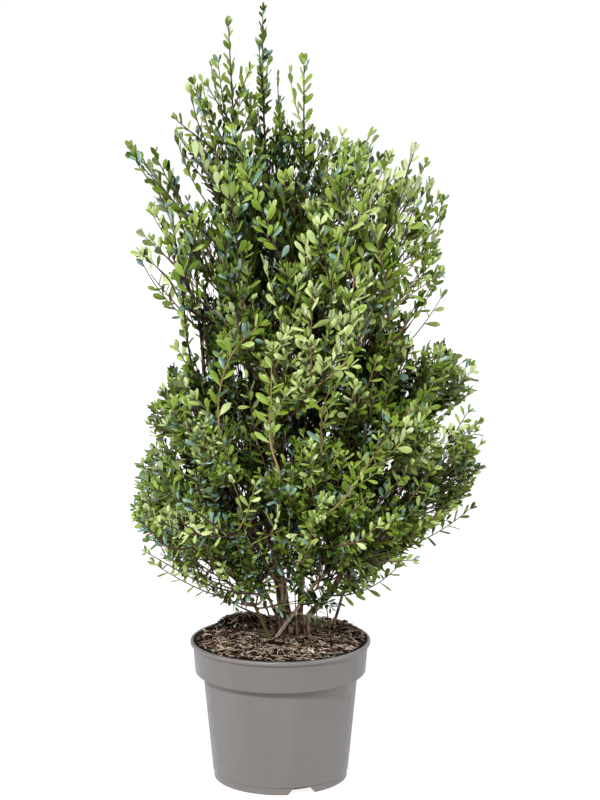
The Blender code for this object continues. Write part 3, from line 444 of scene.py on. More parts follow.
# Share of the leaves kept: in the middle of the crown, low and high, at the back, and at the top right
FULL_BELOW = 0.55
FULL_ABOVE = 1.15
KEPT_LOW = 0.95
KEPT_INSIDE = 0.25
KEPT_BACK = 0.86
BACK_FROM = 0.03
KEPT_TOP_RIGHT = 0.85
TOP_RIGHT_FROM = (0.02, 1.13)

# Places in the crown where the young growth is brightest, with their radius
YOUNG_PLACES = (
    ((0.080, -0.190, 0.950), 0.12), ((0.010, -0.240, 0.830), 0.08), ((0.280, -0.170, 0.660), 0.12),
    ((0.080, -0.300, 0.570), 0.08), ((0.220, -0.050, 1.080), 0.13), ((-0.020, -0.020, 1.330), 0.10),
    ((-0.160, -0.200, 0.620), 0.10), ((0.330, 0.000, 0.770), 0.08), ((-0.200, -0.060, 1.080), 0.08),
    ((0.000, -0.200, 0.740), 0.10), ((-0.220, -0.120, 0.520), 0.12),
)

# What youth comes of: standing outside, high up, in a young place, or low inside, and chance
# Standing outside and low inside also paint shade: leaves inside the crown get darker tints
YOUTH_AND_LIGHT_OUTSIDE = 0.42
YOUTH_HIGH = 0.17
YOUTH_AT_PLACE = 0.26
AGE_AND_SHADE_LOW_INSIDE = 0.14
YOUTH_CHANCE = 0.17
YOUNG_FROM = 0.35
OLD_BELOW = 0.80

# Leaf tints from the oldest to the youngest, the painted sky reflection set apart: upper face, underside and
# how much they shine
TINTS = (
    # The near-black deep tint is partly old leaves and partly painted shade deep in the crown
    ("deep", (0.010, 0.020, 0.002), (0.036, 0.056, 0.012), 0.05),
    # A bluish tint that is a painted reflection of the bright sky on glossy leaves, not a leaf colour
    ("blue", (0.082, 0.152, 0.116), (0.125, 0.178, 0.134), 0.45),
    ("dark", (0.027, 0.050, 0.004), (0.062, 0.092, 0.019), 0.07),
    ("mid", (0.058, 0.098, 0.008), (0.100, 0.140, 0.032), 0.10),
    ("green", (0.092, 0.142, 0.013), (0.140, 0.188, 0.044), 0.12),
    ("light", (0.140, 0.200, 0.030), (0.192, 0.246, 0.080), 0.16),
    ("fresh", (0.200, 0.262, 0.070), (0.262, 0.320, 0.145), 0.24),
    ("young", (0.285, 0.345, 0.132), (0.355, 0.410, 0.230), 0.30),
)
# The painted sky reflection: its tint, and how often leaves take it left and right of this side line
BLUE_REFLECTION = 1
REFLECTION_CHANCE_LEFT = 0.23
REFLECTION_CHANCE_RIGHT = 0.15
REFLECTION_SIDE = 0.02
TINT_CHANCE = 0.85
UPPER_ROUGHNESS = 0.36
UNDER_ROUGHNESS = 0.55
UNDER_SHINE = 0.5
TWIG_TINTS = (("purple", (0.028, 0.017, 0.018)), ("brown", (0.088, 0.050, 0.030)),
              ("tan", (0.170, 0.115, 0.060)), ("soft", (0.150, 0.165, 0.045)))

# Compost and litter: the tones of each kind, then its share among chips and fibres or among litter
# The bed that shows between chips and fibres is near black: partly dark compost, partly painted shade in the
# gaps
BED_AND_SHADE_TONES = ((0.003, 0.002, 0.0015), (0.022, 0.014, 0.010))
COMPOST = {
    "dark": ((0.004, 0.003, 0.002), (0.018, 0.012, 0.008), 0.54, 0.30),
    "red": ((0.036, 0.020, 0.012), (0.125, 0.074, 0.046), 0.29, 0.24),
    "tan": ((0.150, 0.103, 0.068), (0.400, 0.305, 0.220), 0.12, 0.26),
    "grey": ((0.250, 0.205, 0.165), (0.660, 0.570, 0.480), 0.05, 0.20),
}
LITTER = {
    "brown": ((0.150, 0.085, 0.040), 0.6, 0.45), "green": ((0.110, 0.165, 0.040), 0.5, 0.35),
    "straw": ((0.330, 0.260, 0.130), 0.6, 0.20),
}
CHIP_LENGTHS = (0.0022, 0.0075)
CHIP_WIDTHS = (0.35, 0.75)
CHIP_THICKNESSES = (0.0006, 0.0016)
CHIP_UNEVENNESS = (0.62, 1.1)
CHIP_SPARE = 0.003
CHIP_INTO_WALL = 0.001
CHIP_TILT = 0.42
LONG_CHIP_CHANCE = 0.12
LONG_CHIP = 1.5
FIBRE_LENGTHS = (0.007, 0.026)
FIBRE_RADII = (0.0003, 0.0008)
FIBRE_BEND = 0.35
FIBRE_SLOPES = (-0.05, 0.10)
FIBRE_LIFT = 0.0016
FIBRE_LAYER = 0.0030
FIBRE_WAVES = 0.0005
FIBRE_SPARE = 0.004
FIBRE_POINTS = 6
LITTER_LENGTHS = (0.006, 0.016)
LITTER_LIFT = 0.0035
LITTER_SPARE = 0.02

# Bark
# Pale tan of the cane, its tones raised as painted light where it stands in the crown's shade
CANE_TONES_AND_PAINTED_LIGHT = ((0.190, 0.115, 0.072), (0.560, 0.430, 0.330))
GREEN_CANE_TONES = ((0.060, 0.050, 0.014), (0.130, 0.125, 0.040))
BARK_STEP = 0.004
BARK_SIDES = 18
BARK_BOUGH_PIECES = 30
BARK_FURROW = 0.11
BARK_KNOT = 0.16
KNOT_LEAST = 0.32
FORK_SWELL = 0.30
FORK_SWELL_LENGTH = 0.012
FOOT_SINK = 0.004
FLARE_RIDGES = 5
FLARE_TURN = 0.5
FLARE_SIZE = 0.011
FLARE_HEIGHT = 0.040
BURL_CENTRE = Vector((0.030, 0.010, 0.281))
BURL_SIZE = Vector((0.019, 0.017, 0.015))
BURL_LUMPS = ((2.3, 0.12), (7, 0.07))

# Materials: the range where most of a noise lies, how fine each grain is, and tones along it
NOISE_LOW = 0.3
NOISE_HIGH = 0.7
LEAF_GRAIN = 90.0
LEAF_GLOSS_SPAN = (-0.07, 0.09)
TWIG_GRAIN = 200.0
CRUMB_GRAIN = 420.0
FLOOR_GRAIN = 3.0
BARK_GRAIN = 160.0
BARK_TONE_GRAIN = 22.0
ALONG_BARK = (1, 1, 0.22)
BARK_COLOUR = (0.115, 0.078, 0.056)
BARK_TONES = (
    (0.38, (0.014, 0.009, 0.007)), (0.47, (0.070, 0.046, 0.032)),
    (0.55, (0.185, 0.135, 0.098)), (0.66, (0.340, 0.285, 0.230)),
)
WARM_BARK_TONES = (
    (0.38, (0.028, 0.014, 0.008)), (0.50, (0.120, 0.066, 0.038)), (0.66, (0.270, 0.175, 0.108)),
)
FLOW_GRAIN = 26.0
ALONG_FLOW = (1, 1, 0.06)
DUST_GRAIN = 60.0
DUST_PATCH_GRAIN = 9.0
MOULD_GRAIN = 700.0
POT_COLOUR = (0.094, 0.083, 0.076)
POT_TONES = ((0.25, (0.087, 0.076, 0.070)), (0.75, (0.101, 0.089, 0.081)))
DUSTY_POT_TONES = ((0.35, POT_COLOUR), (0.8, (0.118, 0.104, 0.094)))
POT_SHEEN = 0.06
POT_SHEEN_TINT = (0.2, 0.55, 1.0)

# Floor, world and lights: where each comes from, its strength and how soft it is
FLOOR_SIZE = 30.0
FLOOR_GREY = 0.12
FLOOR_GLOW = 0.88
SKY_LOW = 1.03
SKY_HIGH = 0.25
LIGHTS = {
    "key": ((-1.2, -2.8, 2.5), 5.5, 9),
    "right": ((3.2, -1.2, 1.4), 2.6, 30),
    "left": ((-3.2, -1.0, 1.2), 1.6, 30),
    "back": ((0.9, 2.0, 2.4), 1.8, 30),
}

# Small helpers


def seeded(*words):
    """Draws that depend on these words alone."""
    return np.random.default_rng(list(" ".join(str(word) for word in words).encode()))


def unit(vectors):
    return vectors / np.maximum(np.linalg.norm(vectors, axis=-1, keepdims=True), 1e-12)


def rise(values, start, width):
    """0 up to the start, 1 from a width past it, and straight between. It falls where width is below 0."""
    return np.clip((values - start) / width, 0, 1)


def square_to(vectors, directions):
    """The part of each vector that is square to its direction, at length one."""
    return unit(vectors - directions * (vectors * directions).sum(-1, keepdims=True))


def level_side(directions):
    """A unit vector square to each direction, level wherever that can be."""
    return square_to(np.cross(UPWARD, directions) + np.array((1e-4, 0, 0)), directions)


def linked(name, data):
    """A new object of the scene with this data."""
    obj = bpy.data.objects.new(name, data)
    bpy.context.scene.collection.objects.link(obj)
    return obj


def linked_shape(name, bm):
    """A new object of the scene with the shape, which is freed."""
    mesh = bpy.data.meshes.new(name)
    bm.to_mesh(mesh)
    bm.free()
    return linked(name, mesh)


def piece_from_arrays(name, points, faces, face_materials, materials, smooth=True):
    """A mesh of triangles from arrays, with a material index for each face."""
    mesh = bpy.data.meshes.new(name)
    mesh.vertices.add(len(points))
    mesh.vertices.foreach_set("co", points.astype(np.float32).ravel())
    mesh.loops.add(faces.size)
    mesh.loops.foreach_set("vertex_index", faces.astype(np.int32).ravel())
    mesh.polygons.add(len(faces))
    mesh.polygons.foreach_set("loop_start", np.arange(0, faces.size, 3, dtype=np.int32))
    indices = np.broadcast_to(face_materials, len(faces)).astype(np.int32)
    mesh.polygons.foreach_set("material_index", indices)
    mesh.update(calc_edges=True)
    mesh.validate()
    for material in materials:
        mesh.materials.append(material)
    if smooth:
        mesh.shade_smooth()
    return linked(name, mesh)


def dress(piece, slot, *nodes):
    """The piece rides with the plant and stands for the model's nodes. The slot is not used."""
    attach(piece, "root")
    if nodes:
        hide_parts(*nodes)
    return piece


def joined(batches):
    """Points and faces of several batches as one, with the faces renumbered."""
    points, faces, start = [], [], 0
    for batch_points, batch_faces in batches:
        points.append(batch_points)
        faces.append(batch_faces + start)
        start += len(batch_points)
    return np.concatenate(points), np.concatenate(faces)


# Materials


def new_material(name, colour, roughness):
    """A Principled material, and its node tree with a texture coordinate node to build on."""
    material = bpy.data.materials.new(name)
    material.use_nodes = True
    tree = material.node_tree
    shader = tree.nodes["Principled BSDF"]
    shader.inputs["Base Color"].default_value = (*colour, 1)
    shader.inputs["Roughness"].default_value = roughness
    material.diffuse_color = (*colour, 1)
    return material, tree, shader, tree.nodes.new("ShaderNodeTexCoord").outputs["Object"]


def stretched(tree, coordinate, scale):
    node = tree.nodes.new("ShaderNodeMapping")
    node.inputs["Scale"].default_value = scale
    tree.links.new(coordinate, node.inputs["Vector"])
    return node.outputs["Vector"]


def noise_of(tree, coordinate, scale, detail=3.0):
    node = tree.nodes.new("ShaderNodeTexNoise")
    node.inputs["Scale"].default_value = scale
    node.inputs["Detail"].default_value = detail
    tree.links.new(coordinate, node.inputs["Vector"])
    return node.outputs["Fac"]


def range_of(tree, value, to_low, to_high, low=NOISE_LOW, high=NOISE_HIGH):
    """Maps a value from one range, by default the one where most of a noise lies, to another."""
    node = tree.nodes.new("ShaderNodeMapRange")
    for socket, number in zip(("From Min", "From Max", "To Min", "To Max"), (low, high, to_low, to_high)):
        node.inputs[socket].default_value = number
    tree.links.new(value, node.inputs["Value"])
    return node.outputs["Result"]


def ramp_of(tree, value, stops):
    """Colours at their places along the value."""
    node = tree.nodes.new("ShaderNodeValToRGB")
    elements = node.color_ramp.elements
    while len(elements) < len(stops):
        elements.new(0.5)
    for element, (place, colour) in zip(elements, stops):
        element.position = place
        element.color = (*colour, 1)
    tree.links.new(value, node.inputs["Fac"])
    return node.outputs["Color"]


def mixed(tree, share, first, second):
    node = tree.nodes.new("ShaderNodeMix")
    node.data_type = "RGBA"
    tree.links.new(share, node.inputs["Factor"])
    tree.links.new(first, node.inputs["A"])
    tree.links.new(second, node.inputs["B"])
    return node.outputs["Result"]


def bump_of(tree, height, strength, distance, shader):
    node = tree.nodes.new("ShaderNodeBump")
    node.inputs["Strength"].default_value = strength
    node.inputs["Distance"].default_value = distance
    tree.links.new(height, node.inputs["Height"])
    tree.links.new(node.outputs["Normal"], shader.inputs["Normal"])


def leaf_material(name, colour, gloss, shine=0.2):
    """A waxy leaf: one plain colour, with a gloss that varies over it."""
    material, tree, shader, place = new_material(name, colour, gloss)
    spots = noise_of(tree, place, LEAF_GRAIN)
    low, high = LEAF_GLOSS_SPAN
    tree.links.new(range_of(tree, spots, gloss + low, gloss + high), shader.inputs["Roughness"])
    shader.inputs["Specular IOR Level"].default_value = shine
    return material


def twig_material(name, colour):
    material, tree, shader, place = new_material(name, colour, 0.6)
    shader.inputs["Specular IOR Level"].default_value = 0.06
    rough = range_of(tree, noise_of(tree, place, TWIG_GRAIN), 0.5, 0.75)
    tree.links.new(rough, shader.inputs["Roughness"])
    return material


def bark_material():
    """Grey-brown bark, dark in its furrows, with pale flecks and a reddish tone here and there."""
    material, tree, shader, place = new_material("bark", BARK_COLOUR, 0.85)
    shader.inputs["Specular IOR Level"].default_value = 0.06
    grain = noise_of(tree, stretched(tree, place, ALONG_BARK), BARK_GRAIN, 5.0)
    share = range_of(tree, noise_of(tree, place, BARK_TONE_GRAIN, 2.0), 0.0, 1.0, 0.42, 0.60)
    colour = mixed(tree, share, ramp_of(tree, grain, BARK_TONES), ramp_of(tree, grain, WARM_BARK_TONES))
    tree.links.new(colour, shader.inputs["Base Color"])
    tree.links.new(range_of(tree, grain, 0.95, 0.70), shader.inputs["Roughness"])
    bump_of(tree, grain, 0.6, 0.0010, shader)
    return material


def pot_material():
    """Taupe moulded plastic with a cool sheen, faint upright flow marks and a little dust."""
    material, tree, shader, place = new_material("pot_plastic", POT_COLOUR, 0.40)
    flow = noise_of(tree, stretched(tree, place, ALONG_FLOW), FLOW_GRAIN, 3.0)
    dust = noise_of(tree, place, DUST_GRAIN, 4.0)
    plastic, dusty = ramp_of(tree, flow, POT_TONES), ramp_of(tree, dust, DUSTY_POT_TONES)
    patches = range_of(tree, noise_of(tree, place, DUST_PATCH_GRAIN, 4.0), 0.0, 0.55, 0.50, 0.78)
    tree.links.new(mixed(tree, patches, plastic, dusty), shader.inputs["Base Color"])
    shader.inputs["Sheen Weight"].default_value = POT_SHEEN
    shader.inputs["Sheen Tint"].default_value = (*POT_SHEEN_TINT, 1)
    tree.links.new(range_of(tree, dust, 0.36, 0.52), shader.inputs["Roughness"])
    bump_of(tree, noise_of(tree, place, MOULD_GRAIN, 2.0), 0.10, 0.0002, shader)
    return material


def crumb_material(name, dark, pale, roughness=0.95, shine=0.0):
    """Bark compost or wood: two tones in fine grain."""
    material, tree, shader, place = new_material(name, dark, roughness)
    shader.inputs["Specular IOR Level"].default_value = shine
    grain = noise_of(tree, place, CRUMB_GRAIN, 4.0)
    tree.links.new(ramp_of(tree, grain, ((0.32, dark), (0.68, pale))), shader.inputs["Base Color"])
    tree.links.new(range_of(tree, grain, 0.98, 0.80), shader.inputs["Roughness"])
    bump_of(tree, grain, 0.5, 0.0008, shader)
    return material


# Limbs and foliage masses, by the model's rule


class Limb:
    """One tapering limb: points along its centreline and a radius at each."""

    def __init__(self, name, points, radii, carrier=None):
        self.name = name
        self.points = points
        self.radii = radii
        self.carrier = carrier

    def at_height(self, height):
        """Centre, direction and radius where the limb passes this height."""
        for index in range(len(self.points) - 1):
            low, high = self.points[index], self.points[index + 1]
            if low.z <= height <= high.z:
                share = (height - low.z) / (high.z - low.z)
                radius = self.radii[index] * (1 - share) + self.radii[index + 1] * share
                return low.lerp(high, share), (high - low).normalized(), radius
        raise ValueError(f"{self.name} doesn't pass height {height}")

    def end_direction(self):
        return (self.points[-1] - self.points[-2]).normalized()


def curve_through(knots, step):
    """Points on a Catmull-Rom curve through the knots, about one a step."""
    knots = [Vector(knot) for knot in knots]
    padded = [2 * knots[0] - knots[1], *knots, 2 * knots[-1] - knots[-2]]
    points = [knots[0]]
    for before, start, end, after in zip(padded, padded[1:], padded[2:], padded[3:]):
        pieces = max(1, round((end - start).length / step))
        for piece in range(1, pieces + 1):
            t = piece / pieces
            square = 2 * before - 5 * start + 4 * end - after
            cube = 3 * start - before - 3 * end + after
            points.append(0.5 * (2 * start + (end - before) * t + square * t**2 + cube * t**3))
    return points


def arc(start, bend, end, share):
    """The point this share of the way along a curve pulled towards its bend."""
    return start * (1 - share) ** 2 + bend * 2 * share * (1 - share) + end * share**2


def taper(points, foot_radius, tip_radius):
    """Radii that fall from foot to tip, a little faster low down."""
    lengths = [0.0]
    for first, second in zip(points, points[1:]):
        lengths.append(lengths[-1] + (second - first).length)
    return [tip_radius + (foot_radius - tip_radius) * (1 - length / lengths[-1]) ** 1.2 for length in lengths]


def plan_limbs(step, bough_pieces):
    limbs = {}
    for name, (carrier, height, knots, foot_radius, tip_radius) in LIMBS.items():
        if carrier:
            knots = (limbs[carrier].at_height(height)[0], *knots)
        points = curve_through(knots, step)
        limbs[name] = Limb(name, points, taper(points, foot_radius, tip_radius), carrier)
    for mass, (carrier, height, tip, _, _) in BOUGH_MASSES.items():
        foot, along, carrier_radius = limbs[carrier].at_height(height)
        tip = Vector(tip)
        reach = tip - foot
        bend = foot + (along + reach.normalized()).normalized() * reach.length * BOUGH_RISE
        points = [arc(foot, bend, tip, BOUGH_SHARE * part / bough_pieces) for part in range(bough_pieces + 1)]
        foot_radius = min(BOUGH_FOOT_RADIUS, 0.75 * carrier_radius)
        radii = taper(points, foot_radius, min(BOUGH_TIP_RADIUS, foot_radius))
        limbs[f"bough_{mass}"] = Limb(f"bough_{mass}", points, radii, carrier)
    return limbs


class Mass:
    """A plume of twigs from its start to its tip, widest in the middle."""

    def __init__(self, name, limb, tip, width, narrowing):
        self.name = name
        self.limb = limb
        self.start = limb.points[-1] + limb.end_direction() * GAP
        self.tip = Vector(tip)
        self.width = width
        self.narrowing = narrowing
        self.leaf_length = min(LEAF_SHARE * width, LEAF_LONGEST)

    def meet(self, others):
        """Keeps the axes and widths of the other masses as arrays."""
        self.starts = np.array([other.start for other in others])
        self.axes = np.array([other.tip - other.start for other in others])
        self.widths = np.array([other.width for other in others])

    def across(self, places):
        """Each place's share of the way along the axis, and how far outside the plume's limit it is."""
        axis = np.array(self.tip - self.start)
        length = np.linalg.norm(axis)
        axis /= length
        offset = places - np.array(self.start)
        along = offset @ axis / length
        across = np.linalg.norm(offset - np.outer(offset @ axis, axis), axis=1)
        share = np.clip(along, 0, 1)
        swell = START_SWELL + (1 - START_SWELL) * np.sin(np.pi * share)
        return along, across - self.width * swell * (1 - self.narrowing * share)

    def holds(self, points, inset):
        """The model's rule: whether all points lie in the plume and nearer to its axis than to any other."""
        places = np.asarray(points, float)
        along, beyond = self.across(places)
        kept = (beyond <= -inset) & (along <= 1.02) & (along >= -BEHIND_START)
        reach = np.linalg.norm(places[:, :2] - np.array(CROWN_AXIS.xy), axis=1)
        kept &= places[:, 2] >= CROWN_FOOT + UNDERSIDE_SLOPE * np.maximum(reach - UNDERSIDE_RADIUS, 0)
        kept &= places[:, 2] <= CROWN_TOP
        own_axis = np.array([self.tip - self.start])
        own = nearness(places, np.array([self.start]), own_axis, np.array([self.width]))
        room = nearness(places, self.starts, self.axes, self.widths) - own
        room /= 1 / self.width + 1 / self.widths
        return kept.all() and (room >= CELL_GAP + inset).all()

    def inside(self, places, inset, widening):
        """For each place of the finer growth, whether it lies in the widened plume and in the crown."""
        along, beyond = self.across(places)
        kept = (beyond <= widening - inset) & (along <= 1.0) & (along >= -BEHIND_START)
        return kept & in_crown(places, inset)


def outline_at(heights):
    """How far the crown goes left, right, front and back at these heights."""
    return [np.interp(heights, CROWN_OUTLINE[:, 0], side) for side in CROWN_OUTLINE[:, 1:].T]


def crown_reach(places):
    """How far out each place is: 0 on the crown's middle line, 1 at its outline at that height."""
    lifted = UNDERSIDE_RISE * np.abs(places[:, 1]) * rise(places[:, 2], UNDERSIDE_TOP, -UNDERSIDE_DEPTH)
    left, right, front, back = outline_at(places[:, 2] - lifted)
    across = (places[:, 0] - (right - left) / 2) / ((right + left) / 2)
    deep = places[:, 1] / np.where(places[:, 1] < 0, front, back)
    size = (right + left + front + back) / 4
    return (np.abs(across) ** CROWN_POWER + np.abs(deep) ** CROWN_POWER) ** (1 / CROWN_POWER), size


def in_crown(places, inset):
    reach, size = crown_reach(places)
    high = (places[:, 2] >= CROWN_OUTLINE[0, 0]) & (places[:, 2] <= CROWN_TOP - inset)
    return (reach <= 1 - inset / size) & high


def sight(spots, depths):
    """Where the camera's rays through these pixels are, at these depths before the plant's axis."""
    spots = np.array(spots, float)
    rays = np.stack([
        spots[:, 0] - FRAME_PIXELS[0] / 2, FRAME_PIXELS[1] / 2 - spots[:, 1],
        np.full(len(spots), -float(CAMERA_FOCUS_PIXELS))], -1)
    turn = Matrix.Rotation(-CAMERA_TURN, 3, "Z") @ Matrix.Rotation(math.pi / 2 - CAMERA_TILT, 3, "X")
    rays = rays @ np.array(turn).T
    return np.array(CAMERA_PLACE) + rays * ((-depths - CAMERA_PLACE[1]) / rays[:, 1])[:, None]


def openings():
    """Every window and view of the sky: start, end, radius, where its edge softens, and strength."""
    found = [(np.array(start), np.array(end), radius, WINDOW_EDGE, strength)
             for start, end, radius, strength in WINDOWS]
    spots = np.array(SKY)
    depth = np.full(len(spots), SKY_REACH)
    near, far = sight(spots[:, :2], depth), sight(spots[:, :2], -depth)
    metre = CAMERA_FOCUS_PIXELS / -CAMERA_PLACE[1]
    return found + [(start, end, radius / metre, SKY_EDGE, SKY_STRENGTH)
                    for start, end, radius in zip(near, far, spots[:, 2])]


OPENINGS = openings()


def openness(places):
    """How open the crown stays at each place, from 0 to 1."""
    share = np.zeros(len(places))
    for start, end, radius, edge, strength in OPENINGS:
        axis = end - start
        along = np.clip((places - start) @ axis / (axis @ axis), 0, 1)
        distance = np.linalg.norm(places - start - along[:, None] * axis, axis=1)
        share = np.maximum(share, strength * np.clip((1 - distance / radius) / (1 - edge), 0, 1))
    return share


def nearness(places, starts, axes, widths):
    """Distance of each place from each axis, as a share of that mass's width."""
    offset = places[:, None] - starts
    share = np.clip((offset * axes).sum(axis=2) / (axes * axes).sum(axis=1), 0, 1)
    return np.linalg.norm(offset - share[:, :, None] * axes, axis=2) / widths


def plan_masses(limbs):
    masses = [Mass(name, limbs[limb], *rest) for name, (limb, *rest) in LIMB_MASSES.items()]
    masses += [Mass(name, limbs[f"bough_{name}"], *rest) for name, (_, _, *rest) in BOUGH_MASSES.items()]
    for mass in masses:
        mass.meet([other for other in masses if other is not mass])
    return masses


class Obstacles:
    """The limbs' centrelines as segments, for the distance from points to their bark."""

    def __init__(self, limbs):
        starts, ends, radii = [], [], []
        for limb in limbs.values():
            for index in range(len(limb.points) - 1):
                starts.append(limb.points[index])
                ends.append(limb.points[index + 1])
                radii.append(max(limb.radii[index], limb.radii[index + 1]))
        self.starts, self.ends, self.radii = np.array(starts), np.array(ends), np.array(radii)

    def distances(self, points):
        """The least distance of each point to any limb's bark."""
        places = np.asarray(points, float)[:, None, :]
        along = self.ends - self.starts
        share = ((places - self.starts) * along).sum(axis=2) / (along * along).sum(axis=1)
        nearest = self.starts + along * np.clip(share, 0, 1)[:, :, None]
        return (np.linalg.norm(places - nearest, axis=2) - self.radii).min(axis=1)


def stem_bend(mass):
    reach = (mass.tip - mass.start).length
    return mass.start + mass.limb.end_direction() * reach * STEM_BEND, reach


def stem_points(mass):
    """The mass's own stem: on from its limb's end and round to the tip, short of it by one leaf."""
    bend, reach = stem_bend(mass)
    end = 1 - mass.leaf_length * LEAF_REACH / reach
    return [arc(mass.start, bend, mass.tip, end * part / STEM_PIECES) for part in range(STEM_PIECES + 1)]


def stem_sides(mass, points):
    """A side at each point of the stem, carried along it."""
    sides = []
    side = UP.cross(points[1] - points[0]) + Vector((1e-4, 0, 0))
    for index in range(len(points)):
        before, after = points[max(index - 1, 0)], points[min(index + 1, len(points) - 1)]
        direction = (after - before).normalized() if index else mass.limb.end_direction()
        side = (side - direction * side.dot(direction)).normalized()
        sides.append(side)
    return sides


def stem_at(points, sides, share):
    """Place, direction and side this share of the way along a stem."""
    travel = share * sum((b - a).length for a, b in zip(points, points[1:]))
    for index, (first, second) in enumerate(zip(points, points[1:])):
        piece = (second - first).length
        if travel <= piece:
            break
        travel -= piece
    direction = (second - first).normalized()
    side = (sides[index] - direction * sides[index].dot(direction)).normalized()
    return first + direction * min(travel, piece), direction, side


def leaning(direction, side, turn, lean):
    """A unit vector that leans this far off the direction, this far round it from the side."""
    return direction * math.cos(lean) + (Matrix.Rotation(turn, 3, direction) @ side) * math.sin(lean)


def even_path(start, heading, length, step):
    """Places along a straight twig, about a step apart, its foot left out."""
    count = 1 + round(length / step)
    shares = (np.arange(count) + 1) / count
    return np.array(start) + np.outer(shares * length, np.array(heading))


def twig_length(mass, start, heading, obstacles):
    """How far a twig can run before its end leaf would leave the space."""
    length = TWIG_LONGEST
    while length >= TWIG_SHORTEST:
        if mass.holds(even_path(start, heading, length + mass.leaf_length * 0.8, 0.02), TWIG_INSET):
            body = even_path(start, heading, length, 0.004)
            if obstacles.distances(body).min() > TWIG_RADIUS + LIMB_CLEARANCE:
                return length
        length -= TWIG_CUT
    return 0.0


def grow_twigs(mass, obstacles):
    """Start and end of each twig on the stem. Each leaves by the side where it finds the most room."""
    points = stem_points(mass)
    sides = stem_sides(mass, points)
    twigs, ends = [], [points[-1]]
    stem_length = sum((b - a).length for a, b in zip(points, points[1:]))
    count = max(TWIG_FEWEST, round(stem_length / TWIG_SPACING))
    for index in range(count):
        draw = random.Random(f"{mass.name} {index}")
        share = STEM_BARE + (1 - 1.5 * STEM_BARE) * (index + 0.5) / count
        start, direction, side = stem_at(points, sides, share)
        best, best_room = None, TWIG_SHORTEST
        for attempt in range(TWIG_TRIES):
            turn = THIRD_TURN * (index + attempt + 0.5) + draw.uniform(-TURN_SPREAD, TURN_SPREAD)
            heading = leaning(direction, side, turn, TWIG_LEAN * draw.uniform(0.75, 1.25))
            heading = (heading + UP * TWIG_LIFT).normalized()
            length = twig_length(mass, start, heading, obstacles)
            if not length:
                continue
            end = start + heading * length
            room = min(length, min((end - other).length for other in ends))
            if room > best_room:
                best, best_room = end, room
        if best:
            twigs.append((start, best))
            ends.append(best)
    return twigs


# Finer twigs, in many paths at once


def bow_through(starts, bends, ends):
    """Paths that bow towards their bends on the way to their ends: (paths, steps + 1, 3)."""
    share = np.linspace(0, 1, PATH_STEPS + 1)[None, :, None]
    rest = 1 - share
    return starts[:, None] * rest**2 + bends[:, None] * 2 * share * rest + ends[:, None] * share**2


def bowed(starts, headings, lengths, pulls):
    """Paths that set out along their headings and bend as they are pulled."""
    half = lengths[:, None] / 2
    bends = starts + headings * half
    return bow_through(starts, bends, bends + unit(headings + pulls) * half)


def evenly(points, steps):
    """The line through the points as a path of even steps."""
    points = np.array(points)
    travel = np.concatenate([[0.0], np.cumsum(np.linalg.norm(np.diff(points, axis=0), axis=1))])
    places = np.linspace(0, travel[-1], steps + 1)
    return np.stack([np.interp(places, travel, points[:, axis]) for axis in range(3)], -1)


def nearest(spots, place):
    return spots[np.argmin(((spots - place) ** 2).sum(axis=1))]


def fan_of(places):
    """The way that growth fans out and up from the plant's foot."""
    return unit(places - FAN_FOOT)


def path_lengths(paths):
    return np.linalg.norm(np.diff(paths, axis=1), axis=2).sum(axis=1)


def ranks_of(counts):
    """For each of the things that stand on paths, its path and its rank there."""
    path = np.repeat(np.arange(len(counts)), counts)
    return path, np.arange(len(path)) - np.repeat(np.cumsum(counts) - counts, counts)


def places_on(paths, path, share):
    """Places and directions this share of the way along their paths."""
    travel = np.clip(share, 0, 1) * (paths.shape[1] - 1)
    low = np.minimum(travel.astype(int), paths.shape[1] - 2)
    first, second = paths[path, low], paths[path, low + 1]
    return first + (second - first) * (travel - low)[:, None], unit(second - first)


def mass_mains(mass, obstacles, draws):
    """The stem all the way to the tip, and the twigs run on to where the model's end leaves reach."""
    bend, _ = stem_bend(mass)
    start, bend, tip = (np.array(place) for place in (mass.start, bend, mass.tip))
    tip = tip - unit(tip - bend) * TIP_SHORT
    stem = bow_through(start[None], bend[None], tip[None])
    twigs = grow_twigs(mass, obstacles)
    starts = np.array([start for start, _ in twigs])
    reach = np.array([end - start for start, end in twigs])
    lengths = np.linalg.norm(reach, axis=1)
    full = lengths + mass.leaf_length * draws.uniform(*MAIN_RUN_ON, len(twigs))
    pulls = UPWARD * MAIN_RISE
    paths = bowed(starts, unit(reach), full, pulls)
    kept = mass.inside(paths.reshape(-1, 3), SPRAY.inset, 0.0).reshape(len(twigs), -1)
    share = np.maximum(np.cumprod(kept, axis=1).sum(axis=1) / (PATH_STEPS + 1), lengths / full)
    return stem, bowed(starts, unit(reach), full * share, pulls)


class Taken:
    """Places that shoots have taken, to find where there is still room."""

    def __init__(self):
        self.places = np.full((20000, 3), 99.0)
        self.count = 0

    def add(self, places):
        self.places[self.count:self.count + len(places)] = places
        self.count += len(places)

    def distance(self, places):
        if not self.count:
            return np.full(len(places), 1.0)
        taken = self.places[:self.count]
        squares = ((places[:, None] - taken) ** 2).sum(axis=2)
        return np.sqrt(squares.min(axis=1))


def sprouts(parents, counts, growth, end, steps, draws):
    """Where shoots leave their parents: parent, rank, place, direction, two sides, fan and reach."""
    parent, rank = ranks_of(counts)
    number = len(parent)
    share = growth.bare + (end - growth.bare) * (rank + draws.uniform(*steps, number)) / counts[parent]
    starts, alongs = places_on(parents, parent, share)
    sides = level_side(alongs)
    reach = draws.uniform(growth.shortest, growth.longest, number)
    reach *= REACH_AT_FOOT - REACH_LOST_BY_TIP * share
    return parent, rank, starts, alongs, sides, np.cross(alongs, sides), fan_of(starts), reach


